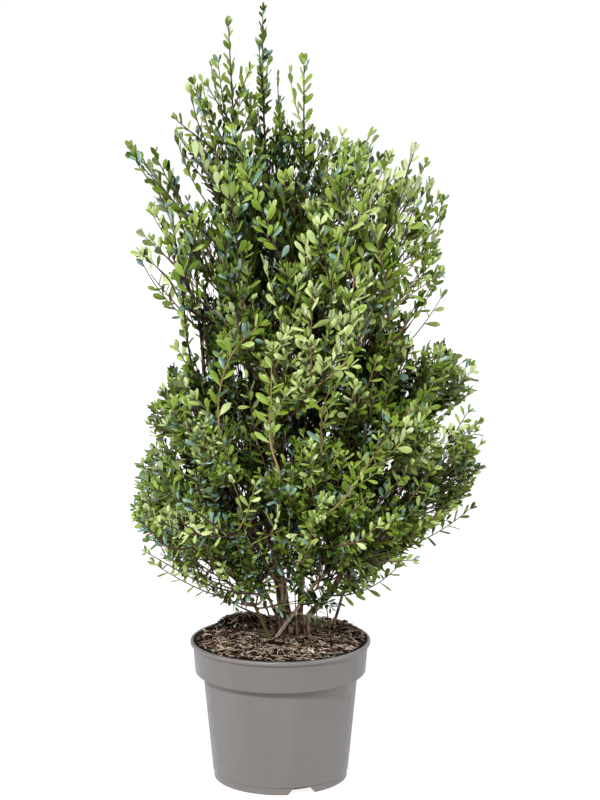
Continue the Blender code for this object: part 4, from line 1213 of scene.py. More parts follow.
def roomy_shoots(inside, parents, growth, manner, draws, taken, floor=0.0):
    """Shoots all along the parents, by the model's rule: of a few turns round its parent, each takes
    the one that runs furthest and stays furthest from the others, and none grows where it is crowded."""
    counts = np.maximum(1, np.round(path_lengths(parents) * (1 - growth.bare) / growth.spacing)).astype(int)
    found = sprouts(parents, counts, growth, 1, ROOMY_STEPS, draws)
    _, rank, starts, alongs, sides, others, fans, reach = found
    turns = GOLDEN_TURN * rank + draws.uniform(*ROOMY_TURNS, len(rank))
    insets = growth.inset + RAGGED * np.abs(draws.normal(0, 1, len(rank)))
    steps = np.arange(growth.tries)
    grown = []
    for index in np.flatnonzero(starts[:, 2] >= floor):
        turn = (turns[index] + GOLDEN_TURN * steps)[:, None]
        lean = (growth.lean * manner.lean * draws.uniform(*ROOMY_LEANS, growth.tries))[:, None]
        across = sides[index] * np.cos(turn) + others[index] * np.sin(turn)
        pull = growth.pull * manner.pull
        headings = unit(alongs[index] * np.cos(lean) + across * np.sin(lean) + fans[index] * pull)
        lengths = np.full(growth.tries, reach[index])
        bow = fans[index] * growth.bow * manner.pull
        paths = bowed(np.repeat(starts[index:index + 1], growth.tries, axis=0), headings, lengths, bow)
        kept = inside(paths.reshape(-1, 3), insets[index]).reshape(growth.tries, -1)
        last = np.maximum(np.cumprod(kept, axis=1).sum(axis=1) - 1, 0)
        room = reach[index] * last / PATH_STEPS
        ends, middles = paths[steps, last], paths[steps, (last + 1) // 2]
        apart = np.minimum(taken.distance(ends), taken.distance(middles))
        score = np.where(room >= growth.shortest * LEAST_ROOM, np.minimum(room, 2 * apart), 0)
        best = np.argmax(score)
        shut = draws.random() >= openness(ends[best:best + 1])[0]
        if shut and score[best] > 2 * growth.apart / manner.fullness:
            path = bowed(starts[index:index + 1], headings[best:best + 1], room[best:best + 1], bow)
            taken.add(path[0, [PATH_STEPS // 2, PATH_STEPS]])
            grown.append(path)
    return np.concatenate(grown) if grown else np.zeros((0, PATH_STEPS + 1, 3))


def side_shoots(inside, parents, growth, manner, draws):
    """Short shoots along the sprays. Each takes the longest of a few turns round its parent."""
    wanted = path_lengths(parents) * (1 - growth.bare) * min(1.0, manner.fullness) / growth.spacing
    counts = np.maximum(np.round(wanted + draws.uniform(-0.5, 0.5, len(parents))), 0).astype(int)
    parent, rank, starts, alongs, sides, others, fan, reach = sprouts(
        parents, counts, growth, SIDE_END, SIDE_STEPS, draws)
    number = len(parent)
    bow = fan * growth.bow * manner.pull
    best = np.zeros(number)
    headings = np.zeros((number, 3))
    for attempt in range(growth.tries):
        turn = (GOLDEN_TURN * (rank + attempt) + draws.uniform(0, math.tau, number))[:, None]
        lean = (growth.lean * manner.lean * draws.uniform(*SIDE_LEANS, number))[:, None]
        across = sides * np.cos(turn) + others * np.sin(turn)
        heading = unit(alongs * np.cos(lean) + across * np.sin(lean) + fan * growth.pull * manner.pull)
        paths = bowed(starts, heading, reach, bow)
        kept = inside(paths.reshape(-1, 3), growth.inset).reshape(number, -1)
        room = reach * np.cumprod(kept, axis=1).sum(axis=1) / (PATH_STEPS + 1)
        better = room > best
        best[better] = room[better]
        headings[better] = heading[better]
    kept = best > growth.shortest * LEAST_ROOM
    return bowed(starts[kept], headings[kept], best[kept], bow[kept]), parent[kept]


def outwardness(places):
    return np.clip(crown_reach(places)[0], 0, 1.1)


def youth_of(places, draws):
    """How young the growth at each place is, from 0 to 1: outside, high up and in the bright places. Inner
    and low inner growth is made older, and so darker, partly as painted shade.
    """
    outward, heights = outwardness(places), places[:, 2]
    score = YOUTH_AND_LIGHT_OUTSIDE * outward**3 + YOUTH_HIGH * rise(heights, YOUNG_FROM, 1.0)
    # Painted shade in part: low inner growth made older, so darker
    score = score - AGE_AND_SHADE_LOW_INSIDE * rise(heights, OLD_BELOW, -0.3) * np.clip(1 - outward, 0, 0.5) * 2
    for centre, radius in YOUNG_PLACES:
        distance = np.linalg.norm(places - np.array(centre), axis=1) / radius
        score = score + YOUTH_AT_PLACE * np.exp(-distance**2)
    return np.clip(score + draws.normal(0, YOUTH_CHANCE, len(places)), 0, 1)


# Leaves, in many at once


class LeafShape:
    """Points of a leaf of length one, as (along, across, fold share), and its triangles.

    A near leaf has rows of left, middle and right points for its upper face, and an underside of
    its own, so that the two faces shade apart. An inner leaf is one bent blade."""

    def __init__(self, rows, near):
        self.near = near
        count = len(rows)
        if near:
            columns = [[(along, half, 0), (along, 0, 1), (along, -half, 0)] for along, half in rows]
        else:
            columns = [[(along, half, 0), (along, -half, 0)] for along, half in rows]
        self.points = [(0, 0, 0)] + [point for row in columns for point in row] + [(1, 0, 0)]
        self.faces = self.strip(0, count, len(columns[0]))
        self.upper = len(self.faces)
        if near:
            start = len(self.points)
            self.points += [(0, 0, 0)] + [row[side] for row in columns for side in (0, 2)] + [(1, 0, 0)]
            self.faces += [(a, c, b) for a, b, c in self.strip(start, count, 2)]
        self.points = np.array(self.points, float)
        self.faces = np.array(self.faces)

    @staticmethod
    def strip(root, count, width):
        """Triangles from the root point over rows of this width to the tip point."""
        faces = [(root, root + 2 + step, root + 1 + step) for step in range(width - 1)]
        for row in range(count - 1):
            for step in range(width - 1):
                a = root + 1 + row * width + step
                faces += [(a, a + 1, a + 1 + width), (a, a + 1 + width, a + width)]
        last = root + 1 + (count - 1) * width
        faces += [(last + step, last + step + 1, last + width) for step in range(width - 1)]
        return faces

    def arrays(self, leaves):
        """Points, faces and material of all the leaves: a bent blade in each leaf's own frame."""
        along, across, fold = self.points.T
        length = leaves["length"][:, None, None]
        sides = np.cross(leaves["normal"], leaves["direction"])
        height = fold * leaves["fold"][:, None] + leaves["curl"][:, None] * along**2
        points = leaves["root"][:, None] + length * (
            leaves["direction"][:, None] * along[:, None]
            + sides[:, None] * (across * leaves["width"][:, None])[:, :, None]
            + leaves["normal"][:, None] * height[:, :, None]
        )
        number = len(points)
        faces = self.faces[None] + (np.arange(number) * len(self.points))[:, None, None]
        materials = np.repeat(leaves["tint"][:, None], len(self.faces), axis=1)
        materials[:, self.upper:] += len(TINTS)
        return points.reshape(-1, 3), faces.reshape(-1, 3), materials.ravel()


NEAR_LEAF = LeafShape(LEAF_ROWS, True)
INNER_LEAF = LeafShape(INNER_LEAF_ROWS, False)


def leaves_along(paths, youth, draws, habit, size=1.0, hang=0.0):
    """Leaves on every path from its bare foot on, closing into a small rosette at its tip."""
    sizes = LEAF_LENGTH * (size * habit.size) * (LEAF_SIZE_OLD + LEAF_SIZE_GAIN * youth)
    room = path_lengths(paths) * (1 - habit.bare) / (sizes * LEAF_SPACING * habit.spread)
    counts = np.maximum(2, np.round(room)).astype(int) + habit.rosette
    path, rank = ranks_of(counts)
    number = len(path)
    even = (rank + draws.uniform(0.25, 0.75, number)) / (counts[path] - habit.rosette)
    share = habit.bare + (1 - habit.bare) * np.minimum(even, 1.0)
    places, alongs = places_on(paths, path, share)
    outward = unit((places - np.array(CROWN_AXIS)) * (1, 1, 0) + UPWARD * 0.1)
    tips = paths[:, -1, 2]
    forward = habit.forward + FORWARD_HIGH * np.clip((tips - FORWARD_FROM) * 10, 0, 1)
    outward = unit(outward - np.array((0, 1, 0)) * forward[path][:, None])
    loose = np.where(tips > LOOSE_ABOVE, LOOSE_FACING, 1.0)
    facing = (draws.normal(0, LEAF_FACING, len(paths)) * loose)[path][:, None]
    lift = (LEAF_LIFT * rise(tips, LIFT_FROM, 0.25) - hang)[path][:, None]
    outward = outward * np.cos(facing) + np.cross(UPWARD, outward) * np.sin(facing)
    in_rows = (draws.random(len(paths)) < habit.rows)[path]
    first_turn = draws.uniform(0, math.tau, len(paths))[path]
    turn = np.where(in_rows, math.pi * rank, GOLDEN_TURN * rank + first_turn)
    turn = turn + draws.normal(0, LEAF_TURN_CHANCE, number)
    at_tip = rise(share, TIP_FROM, TIP_PART)
    lean = np.radians(LEAF_LEAN - LEAF_LEAN_LOST_BY_TIP * at_tip + draws.normal(0, LEAF_LEAN_CHANCE, number))
    end = rank >= counts[path] - habit.rosette
    lean[end] = np.radians(draws.uniform(*ROSETTE_LEANS, end.sum()))
    sides = square_to(np.cross(alongs, outward) + 1e-6, alongs)
    across = sides * np.cos(turn)[:, None] + np.cross(alongs, sides) * np.sin(turn)[:, None]
    direction = unit(alongs * np.cos(lean)[:, None] + across * np.sin(lean)[:, None] + UPWARD * lift)
    from_along, from_up, from_outward = LEAF_FACE
    face = alongs * from_along + UPWARD * from_up + outward * from_outward
    face = face + draws.normal(0, LEAF_FACE_CHANCE, (number, 3))
    length = sizes[path] * draws.uniform(*LEAF_SIZES, number) * (1 - LENGTH_LOST_BY_TIP * at_tip**3)
    tints = tints_of(youth[path] + YOUTH_GAINED_BY_TIP * at_tip - YOUTH_LOST_AT_FOOT, places, draws)
    return {
        "root": places, "direction": direction, "normal": square_to(face, direction), "length": length,
        "width": draws.uniform(*LEAF_WIDTHS, number), "fold": LEAF_FOLD * draws.uniform(*LEAF_FOLDS, number),
        "curl": draws.uniform(*LEAF_CURLS, number), "tint": tints,
    }


def tints_of(youth, places, draws):
    """A tint for each leaf: by the youth of its spray, with some leaves a step off and some in the bluish
    tint of a painted sky reflection.
    """
    green = [index for index in range(len(TINTS)) if index != BLUE_REFLECTION]
    step = np.clip(youth, 0, 0.999) * len(green) + draws.normal(0, TINT_CHANCE, len(youth))
    tints = np.array(green)[np.clip(step.astype(int), 0, len(green) - 1)]
    # Painted sky reflection, on older leaves and more often on the left
    chance = np.where(places[:, 0] < REFLECTION_SIDE, REFLECTION_CHANCE_LEFT, REFLECTION_CHANCE_RIGHT)
    tints[draws.random(len(tints)) < chance * np.clip(1.25 - 1.3 * youth, 0, 1)] = BLUE_REFLECTION
    return tints


def chosen(leaves, kept):
    return {key: values[kept] for key, values in leaves.items()}


def gathered(batches):
    return {key: np.concatenate([batch[key] for batch in batches]) for key in batches[0]}


def middles_of(leaves):
    return leaves["root"] + leaves["direction"] * leaves["length"][:, None] * 0.5


def thinned(leaves, obstacles, draws):
    """Leaves out some in the middle, at the back and top right, and in openings, and all on the limbs."""
    middle = middles_of(leaves)
    across, deep, height = middle.T
    least = np.where(height < FULL_BELOW, KEPT_LOW, KEPT_INSIDE)
    chance = np.maximum(rise(outwardness(middle), 0.05, 0.30), least)
    chance = np.where(height > FULL_ABOVE, 1.0, chance)
    chance *= np.where(deep > BACK_FROM, KEPT_BACK, 1.0)
    chance *= np.where((across > TOP_RIGHT_FROM[0]) & (height > TOP_RIGHT_FROM[1]), KEPT_TOP_RIGHT, 1.0)
    kept = draws.random(len(middle)) < chance * (1 - openness(middle))
    kept &= obstacles.distances(middle) > LIMB_ROOM
    return chosen(leaves, kept)


# Tubes, in many at once


def tubes(paths, radii, sides):
    """Closed tubes round the paths: points and triangles. The radii are (paths, rings[, sides])."""
    number, rings = paths.shape[:2]
    directions = unit(np.gradient(paths, axis=1))
    first = np.repeat(level_side(directions[:, 0])[:, None], rings, axis=1)
    side = square_to(first, directions)
    other = np.cross(directions, side)
    turn = (np.arange(sides) * math.tau / sides)[:, None]
    spokes = side[:, :, None] * np.cos(turn) + other[:, :, None] * np.sin(turn)
    radii = radii.reshape(number, rings, -1, 1)
    points = paths[:, :, None] + spokes * radii
    around = np.arange(sides)
    low = (np.arange(rings - 1) * sides)[:, None] + around
    low_next = (np.arange(rings - 1) * sides)[:, None] + (around + 1) % sides
    walls = np.stack([
        np.stack([low, low_next, low_next + sides], -1), np.stack([low, low_next + sides, low + sides], -1)
    ]).reshape(-1, 3)
    fan = np.arange(1, sides - 1)
    last = (rings - 1) * sides
    foot = np.stack([np.zeros_like(fan), fan + 1, fan], -1)
    tip = np.stack([np.zeros_like(fan), fan, fan + 1], -1) + last
    faces = np.concatenate([walls, foot, tip])
    starts = (np.arange(number) * rings * sides)[:, None, None]
    return points.reshape(-1, 3), (faces[None] + starts).reshape(-1, 3), len(faces)


class Wood:
    """Twigs gathered from all the masses, to be joined into a few pieces."""

    def __init__(self):
        self.batches = []

    def add(self, paths, ends, sides, tints):
        """Twigs along the paths, with these radii at their foot and tip."""
        foot_radius, tip_radius = ends
        share = np.linspace(0, 1, paths.shape[1])
        radii = np.repeat((foot_radius + (tip_radius - foot_radius) * share)[None], len(paths), axis=0)
        points, faces, each = tubes(paths, radii, sides)
        self.batches.append((points, faces, np.repeat(tints, each)))

    def piece(self, name, materials):
        points, faces = joined([batch[:2] for batch in self.batches])
        tints = np.concatenate([batch[2] for batch in self.batches])
        return piece_from_arrays(name, points, faces, tints, materials)


def twig_tints(places, youth, draws, soft):
    """Purple-brown high up and on old twigs, tan low down, soft green on young shoots."""
    high = rise(places[:, 2], 0.75, 0.45)
    tints = np.where(draws.random(len(places)) < 0.25 + 0.65 * high, PURPLE, BROWN)
    tints[draws.random(len(places)) < 0.35 * (1 - high)] = TAN
    tints[draws.random(len(places)) < soft * np.clip(1.3 * youth, 0, 1) * (1 - 0.6 * high)] = SOFT
    return tints


# The crown


def zone_of(mass):
    return next(zone for zone, top in ZONE_TOPS if mass.tip.z < top)


def manner_of(mass):
    return next(manner for prefix, manner in MANNERS.items() if mass.name.startswith(prefix))


def limb_paths(limbs):
    """Every limb's centreline as a path with the same number of steps."""
    return np.array([evenly(limb.points, LIMB_PATH_STEPS) for limb in limbs.values()])


def tip_sizes(tips):
    """How large the leaves are on shoots that end at these tips."""
    return np.interp(tips[:, 2], *zip(*TIP_SIZES))


def on_front(spots):
    """Places of (x, z) on the front of the crown's outline."""
    spots = np.array(spots)
    left, right, front, _ = outline_at(spots[:, 1])
    across = np.clip(np.abs((spots[:, 0] - (right - left) / 2) / ((right + left) / 2)), 0, 0.98)
    deep = -front * (1 - across**CROWN_POWER) ** (1 / CROWN_POWER)
    return np.stack([spots[:, 0], deep, spots[:, 1]], -1)


def seen_on_front(spots, share):
    """Places at these pixels that lie this share of the way out to the front of the crown's outline."""
    depths = np.full(len(spots), 0.15)
    for _ in range(6):
        places = sight(spots, depths)
        depths = -share * on_front(places[:, [0, 2]])[:, 1]
    return sight(spots, depths)


def low_branches(lines, draws):
    """Thin branches from the foot of the stems out to the crown's lower edge, all round."""
    starts, tips = [], []
    for count, start_low, start_high, tip_low, tip_high in LOW_RINGS:
        low = lines[(lines[:, 2] > start_low) & (lines[:, 2] < start_high)]
        for index in range(count):
            turn = (index + draws.uniform(-0.3, 0.3)) * math.tau / count
            height = draws.uniform(tip_low, tip_high)
            sides = outline_at(height)
            x, y = math.cos(turn), math.sin(turn)
            reach = np.array((x * sides[x > 0], y * sides[2 + (y > 0)], 0))
            tips.append(reach * LOW_SHARE + UPWARD * (height + UNDERSIDE_RISE * abs(reach[1])))
            away = np.linalg.norm(low - tips[-1], axis=1) + draws.uniform(0, 0.05, len(low))
            starts.append(low[np.argmin(away)])
    starts, tips = np.array(starts), np.array(tips)
    return bow_through(starts, starts * 0.45 + tips * 0.55 - UPWARD * LOW_SAG, tips)


def front_stems(spots):
    """The stems that show in the front: out from the nearest of the spots, and through their places."""
    knots = seen_on_front(np.array(FRONT_STEMS).reshape(-1, 2), FRONT_STEM_DEPTH).reshape(-1, 3, 3)
    stems = []
    for foot, middle, tip in knots:
        start = nearest(spots, foot - unit(middle - foot) * 0.03 - fan_of(foot) * 0.02)
        curve = curve_through((start, foot, middle, tip - unit(tip - middle) * TIP_SHORT), FRONT_STEM_STEP)
        stems.append(evenly(curve, 2 * PATH_STEPS))
    return np.array(stems)


class Crown:
    """All that grows on the limbs: its wood, its leaves, and the paths that further growth leaves from."""

    def __init__(self, limbs):
        self.limbs = limbs
        self.obstacles = Obstacles(limbs)
        self.masses = plan_masses(limbs)
        self.wood, self.fine_wood = Wood(), Wood()
        self.taken, self.taken_mains = Taken(), Taken()
        self.leaves, self.paths, self.sprays = [], [], []

    def grow_mass(self, mass):
        """A mass's stem and twigs with their finer growth, and more leaves on the stem of an airy one."""
        draws = seeded(mass.name, "fine")
        manner = manner_of(mass)
        stem, twigs = mass_mains(mass, self.obstacles, draws)
        mains = np.concatenate([stem, twigs])
        self.taken_mains.add(mains[:, PATH_STEPS // 2])
        self.taken_mains.add(mains[:, PATH_STEPS])
        youth = youth_of(mains[:, -1], draws)
        stem_radii = (mass.limb.radii[-1], MAIN_RADII[1])
        self.wood.add(stem, stem_radii, 6, twig_tints(stem[:, 0], youth[:1], draws, 0.0))
        self.wood.add(twigs, MAIN_RADII, 5, twig_tints(twigs[:, 0], youth[1:], draws, 0.0))

        def inside(places, inset):
            return mass.inside(places, inset, manner.widening)

        self.grow_on(inside, mains, manner, draws)
        if mass.name.startswith(AIRY_MASSES):
            self.leaves.append(leaves_along(stem, np.full(1, SPIRE_YOUTH), draws, SPIRE_LEAVES))

    def grow_on(self, inside, mains, manner, draws, hang=0.0):
        """Sprays on the mains, shoots on the sprays, and the leaves of all three."""
        sprays = roomy_shoots(inside, mains, SPRAY, manner, draws, self.taken)
        youth = youth_of(sprays[:, -1], draws)
        shoots, parent = side_shoots(inside, sprays, SHOOT, manner, draws)
        shoot_youth = np.clip(youth[parent] + draws.normal(0, 0.05, len(parent)), 0, 1)
        main_youth = youth_of(mains[:, -1], draws)
        self.wood.add(sprays[:, ::2], SPRAY_RADII, 3, twig_tints(sprays[:, 0], youth, draws, 0.35))
        self.fine_wood.add(shoots[:, ::4], SHOOT_RADII, 3, twig_tints(shoots[:, 0], shoot_youth, draws, 0.9))
        self.leaves += [
            leaves_along(mains, main_youth, draws, MAIN_LEAVES._replace(bare=manner.bare), manner.size, hang),
            leaves_along(sprays, youth, draws, SPRAY_LEAVES, manner.size, hang),
            leaves_along(shoots, shoot_youth, draws, SHOOT_LEAVES, manner.size, hang),
        ]
        self.paths.append(mains)
        self.sprays.append(sprays)

    def grow_from_limbs(self):
        """Branchlets where the limbs have room, the low branches and the suckers."""
        draws = seeded("branchlets")
        lines = limb_paths(self.limbs)
        branchlets = roomy_shoots(
            in_crown, lines, BRANCHLET, LIMB_MANNER, draws, self.taken_mains, BRANCHLET_FLOOR)
        low = low_branches(lines.reshape(-1, 3), draws)
        for paths, manner, hang in ((branchlets, LIMB_MANNER, 0.0), (low, LOW_MANNER, LOW_HANG)):
            self.wood.add(paths, MAIN_RADII, 5, twig_tints(paths[:, 0], np.zeros(len(paths)), draws, 0.0))
            self.grow_on(in_crown, paths, manner, draws, hang)
        suckers = bow_through(*np.array([knots for knots, _ in SUCKERS]).transpose(1, 0, 2))
        self.wood.add(suckers, SUCKER_RADII, 6, np.array([tint for _, tint in SUCKERS]))
        self.leaves.append(leaves_along(suckers, np.full(len(SUCKERS), SUCKER_YOUTH), draws, SUCKER_LEAVES))

    def grow_tip_shoots(self, sprays):
        """Young shoots that stand out of the crown all round, from the ends of outer sprays, well apart."""
        draws = seeded("tip shoots")
        outer = sprays[outwardness(sprays[:, -1]) > TIP_SHOOT_FROM]
        outer = outer[draws.permutation(len(outer))]
        starts = outer[:, -3]
        fans = unit(fan_of(starts) * LONG_SHOOT_SPREAD + draws.normal(0, 0.14, starts.shape))
        reach = draws.uniform(*TIP_SHOOT_REACH, len(starts))
        paths = bowed(starts, unit(fans + unit(outer[:, -1] - starts) * 0.6), reach, fans * 0.8)
        clear = in_crown(paths[:, -1], TIP_SHOOT_INSET)
        across, _, height = starts.T
        airy = (height > AIRY_ABOVE) | ((across < AIRY_LEFT[0]) & (height > AIRY_LEFT[1]))
        clear &= ~airy | (draws.random(len(starts)) < TIP_SHOOT_AIRY)
        taken, kept = Taken(), []
        for index in np.flatnonzero(clear):
            if taken.distance(paths[index, -1:])[0] > TIP_SHOOTS_APART:
                taken.add(paths[index, -1:])
                kept.append(index)
        paths = paths[kept]
        youth = np.clip(youth_of(paths[:, -1], draws) + 0.12, 0, 1)
        self.wood.add(paths, SPRAY_RADII, 4, twig_tints(paths[:, 0], youth, draws, 0.5))
        self.leaves.append(leaves_along(paths, youth, draws, TIP_SHOOT_LEAVES, tip_sizes(paths[:, -1])))

    def grow_front_stems(self, spots):
        """The stems that show in the front, with leafy shoots: older and darker high up on the left."""
        draws = seeded("front stems")
        stems = front_stems(spots)
        tips = stems[:, -1]
        across, _, height = tips.T
        youth = np.clip(youth_of(tips, draws) + 0.02, 0, 1)
        youth = np.where((across < OLD_SIDE) & (height > OLD_ABOVE), youth * OLD_YOUTH, youth)
        tints = twig_tints(stems[:, 0], youth, draws, 0.1)
        tints = np.where((across < PURPLE_SIDE) | (height > PURPLE_ABOVE), PURPLE, tints)
        self.wood.add(stems, FRONT_STEM_RADII, 5, tints)
        shoots, parent = side_shoots(in_crown, stems, FRONT_SHOOT, LIMB_MANNER, draws)
        shoot_tints = twig_tints(shoots[:, 0], youth[parent], draws, 0.6)
        self.fine_wood.add(shoots[:, ::4], SHOOT_RADII, 3, shoot_tints)
        sizes = tip_sizes(tips)
        large = sizes * np.where(height > BIG_LEAVES_ABOVE, BIG_LEAF_SIZE, 1.0)
        self.leaves += [
            leaves_along(stems, youth, draws, FRONT_STEM_LEAVES, large),
            leaves_along(shoots, youth[parent], draws, FRONT_SHOOT_LEAVES, sizes[parent]),
        ]

    def grow_long_shoots(self, spots, tips, name, youth_low, size):
        """Young shoots that leave the nearest twig below and run straight up to each tip."""
        draws = seeded(name)
        number = len(tips)
        fans = unit(fan_of(tips) * LONG_SHOOT_SPREAD + draws.normal(0, 0.10, (number, 3)))
        ends = tips - fans * TIP_SHORT
        reach = LONG_SHOOT_REACH * draws.uniform(0.8, 1.25, number)[:, None]
        inward = unit((np.array(CROWN_AXIS) - tips) * (1, 1, 0))
        wanted = ends - fans * reach + inward * LONG_SHOOT_DEPTH
        starts = np.array([nearest(spots, place) for place in wanted])
        shoots = bow_through(starts, ends - fans * reach * 0.6, ends)
        youth = draws.uniform(youth_low, 1.0, number)
        self.wood.add(shoots, SPRAY_RADII, 4, twig_tints(shoots[:, 0], youth, draws, 0.5))
        self.leaves.append(leaves_along(shoots, youth, draws, LONG_SHOOT_LEAVES, size))

    def grow_young(self):
        """Growth that leaves from the nearest twigs, and stands out of the rest."""
        sprays = np.concatenate(self.sprays)
        self.grow_tip_shoots(sprays)
        spots = np.concatenate(self.paths + [sprays])[:, 1:-1].reshape(-1, 3)
        self.grow_front_stems(spots)
        front = on_front(FRONT_TIPS)
        self.grow_long_shoots(spots, np.array(OUTLINE_TIPS), "outline", OUTLINE_YOUTH, OUTLINE_LEAF_SIZE)
        self.grow_long_shoots(spots, front, "front", FRONT_YOUTH, tip_sizes(front))

    def make_leaf_pieces(self, materials):
        """One piece for the front and one for the back of each zone, near leaves and inner ones together."""
        leaves = thinned(gathered(self.leaves), self.obstacles, seeded("thinning"))
        middles = middles_of(leaves)
        near = outwardness(middles) > NEAR_SHARE
        height = middles[:, 2]
        halves = {"front": middles[:, 1] < 0, "back": middles[:, 1] >= 0}
        floor = 0.0
        for zone, top in ZONE_TOPS:
            nodes = [mass.name for mass in self.masses if zone_of(mass) == zone]
            for half, side in halves.items():
                part = side & (height >= floor) & (height < top)
                pair = [shape.arrays(chosen(leaves, part & kind))
                        for shape, kind in ((NEAR_LEAF, near), (INNER_LEAF, ~near))]
                points, faces = joined([batch[:2] for batch in pair])
                tints = np.concatenate([batch[2] for batch in pair])
                piece = piece_from_arrays(f"leaves_{zone}_{half}", points, faces, tints, materials)
                dress(piece, f"leaf_{zone}", *nodes)
            floor = top


def grow_crown(limbs, leaf_materials, twig_materials):
    crown = Crown(limbs)
    for mass in crown.masses:
        crown.grow_mass(mass)
    crown.grow_from_limbs()
    crown.grow_young()
    crown.make_leaf_pieces(leaf_materials)
    for name, twigs in (("twigs", crown.wood), ("shoots", crown.fine_wood)):
        dress(twigs.piece(name, twig_materials), "shoot")


# Bark


def bark_radii(limb, turns, sides):
    """Radii round each ring: furrows along the limb, knots, a swelling where it leaves its carrier."""
    steps = [(after - before).length for before, after in zip(limb.points, limb.points[1:])]
    lengths = np.concatenate([[0.0], np.cumsum(steps)])
    radii = np.zeros((len(limb.points), sides))
    offset = seeded(limb.name).uniform(0, 50)
    for ring, (length, radius) in enumerate(zip(lengths, limb.radii)):
        for corner, turn in enumerate(turns):
            x, y = math.cos(turn), math.sin(turn)
            furrow = noise.noise((x * 2.4 + offset, y * 2.4, length * 38))
            fine = noise.noise((x * 6.0, y * 6.0 + offset, length * 150))
            knot = max(0.0, noise.noise((x + offset, y + offset, length * 26)) - KNOT_LEAST)
            swell = FORK_SWELL * math.exp(-length / FORK_SWELL_LENGTH) if limb.carrier else 0.0
            relief = BARK_FURROW * furrow + 0.5 * BARK_FURROW * fine + BARK_KNOT * 2 * knot
            radii[ring, corner] = radius * (1 + relief + swell)
    return radii


def flared(limb, turns, radii):
    """The root flare: ridges round the foot that run out into the soil."""
    for ring, point in enumerate(limb.points):
        height = point.z - FOOT_LEVEL
        if height < FLARE_HEIGHT:
            fall = (1 - max(height, 0.0) / FLARE_HEIGHT) ** 2
            ridges = 0.35 + 0.65 * np.maximum(0, np.cos((turns - FLARE_TURN) * FLARE_RIDGES)) ** 2
            radii[ring] += FLARE_SIZE * fall * ridges
    return radii


def burl_arrays():
    """The lumpy burl beside the trunk's foot."""
    bm = bmesh.new()
    bmesh.ops.create_icosphere(bm, subdivisions=4, radius=1)
    for vertex in bm.verts:
        swell = 1 + sum(size * noise.noise(vertex.co * scale) for scale, size in BURL_LUMPS)
        vertex.co = BURL_CENTRE + vertex.co * BURL_SIZE * swell
    points = np.array([vertex.co for vertex in bm.verts])
    faces = np.array([[vertex.index for vertex in face.verts] for face in bm.faces])
    bm.free()
    return points, faces


def make_limbs(materials):
    """Each limb and bough with the relief of its bark."""
    for name, limb in plan_limbs(BARK_STEP, BARK_BOUGH_PIECES).items():
        if not limb.carrier:
            first = next(i for i, point in enumerate(limb.points) if point.z > FOOT_LEVEL - FOOT_SINK)
            limb.points, limb.radii = limb.points[first:], limb.radii[first:]
        sides = 2 * BARK_SIDES if name == "trunk" else BARK_SIDES
        turns = np.arange(sides) * math.tau / sides
        radii = bark_radii(limb, turns, sides)
        if name == "trunk":
            radii = flared(limb, turns, radii)
        points, faces, _ = tubes(np.array(limb.points)[None], radii[None], sides)
        if name == "trunk":
            points, faces = joined([(points, faces), burl_arrays()])
        material = materials.get(name, materials["bark"])
        piece = piece_from_arrays(f"{name}_bark", points, faces, 0, [material])
        dress(piece, "shoot" if name in materials else "bark", name)


# Pot


def filleted(corners):
    """Points of a profile of (radius, height, fillet), with an arc at each corner that has a fillet."""
    points = []
    for index, (radius, height, fillet) in enumerate(corners):
        corner = Vector((radius, height))
        if not fillet:
            points.append(corner)
            continue
        before = Vector(corners[index - 1][:2])
        after = Vector(corners[(index + 1) % len(corners)][:2])
        start = corner + (before - corner).normalized() * fillet
        end = corner + (after - corner).normalized() * fillet
        points += [arc(start, corner, end, step / FILLET_STEPS) for step in range(FILLET_STEPS + 1)]
    return points


def pot_profile():
    """Outer side down from the lip, across the underside to the axis, and up the inner side."""
    inner_lip = BAND_TOP_RADIUS - WALL
    return filleted([
        (RIM_RADIUS, RIM_HEIGHT, 0.0030),
        (RIM_RADIUS, RIM_HEIGHT - LIP_DROP, 0.0018),
        (BAND_TOP_RADIUS, RIM_HEIGHT - LIP_DROP, 0.0010),
        (BAND_FOOT_RADIUS, BAND_FOOT_HEIGHT, 0.0022),
        (BODY_TOP_RADIUS + 0.001, BAND_FOOT_HEIGHT, 0.0030),
        (BODY_TOP_RADIUS, BAND_FOOT_HEIGHT - 0.012, 0),
        (BODY_FOOT_RADIUS, LEDGE_HEIGHT, 0.0006),
        (FOOT_RADIUS, LEDGE_HEIGHT - 0.001, 0.0006),
        (FOOT_RADIUS, 0.0, 0.0008),
        (FOOT_RADIUS - WALL, 0.0, 0),
        (FOOT_RADIUS - WALL, GALLERY_HEIGHT, 0),
        (CENTRE_PAD_RADIUS + 0.004, GALLERY_HEIGHT, 0),
        (CENTRE_PAD_RADIUS, 0.0, 0),
        (0.0, 0.0, 0),
        (0.0, FLOOR, 0),
        (CENTRE_PAD_RADIUS - 0.002, FLOOR, 0),
        (CENTRE_PAD_RADIUS + 0.002, GALLERY_HEIGHT + FLOOR, 0),
        (BODY_FOOT_RADIUS - WALL, GALLERY_HEIGHT + FLOOR, 0),
        (BODY_TOP_RADIUS - WALL, BAND_FOOT_HEIGHT - 0.002, 0),
        (BAND_FOOT_RADIUS - WALL, BAND_FOOT_HEIGHT + WALL, 0),
        (inner_lip, RIM_HEIGHT - LIP_DROP, 0.0010),
        (inner_lip + 0.0010, RIM_HEIGHT, 0.0008),
    ])


def turned(name, profile, sides):
    """A closed profile of (radius, height) turned round Z, with one point where it meets the axis."""
    bm = bmesh.new()
    corners = [bm.verts.new((radius, 0, height)) for radius, height in profile]
    for index, corner in enumerate(corners):
        following = corners[(index + 1) % len(corners)]
        if corner.co.x > 0 or following.co.x > 0:
            bm.edges.new((corner, following))
    bmesh.ops.spin(
        bm, geom=bm.verts[:] + bm.edges[:], cent=(0, 0, 0), axis=(0, 0, 1), angle=math.tau,
        steps=sides, use_merge=True,
    )
    bmesh.ops.remove_doubles(bm, verts=bm.verts, dist=1e-5)
    bmesh.ops.recalc_face_normals(bm, faces=bm.faces)
    return linked_shape(name, bm)


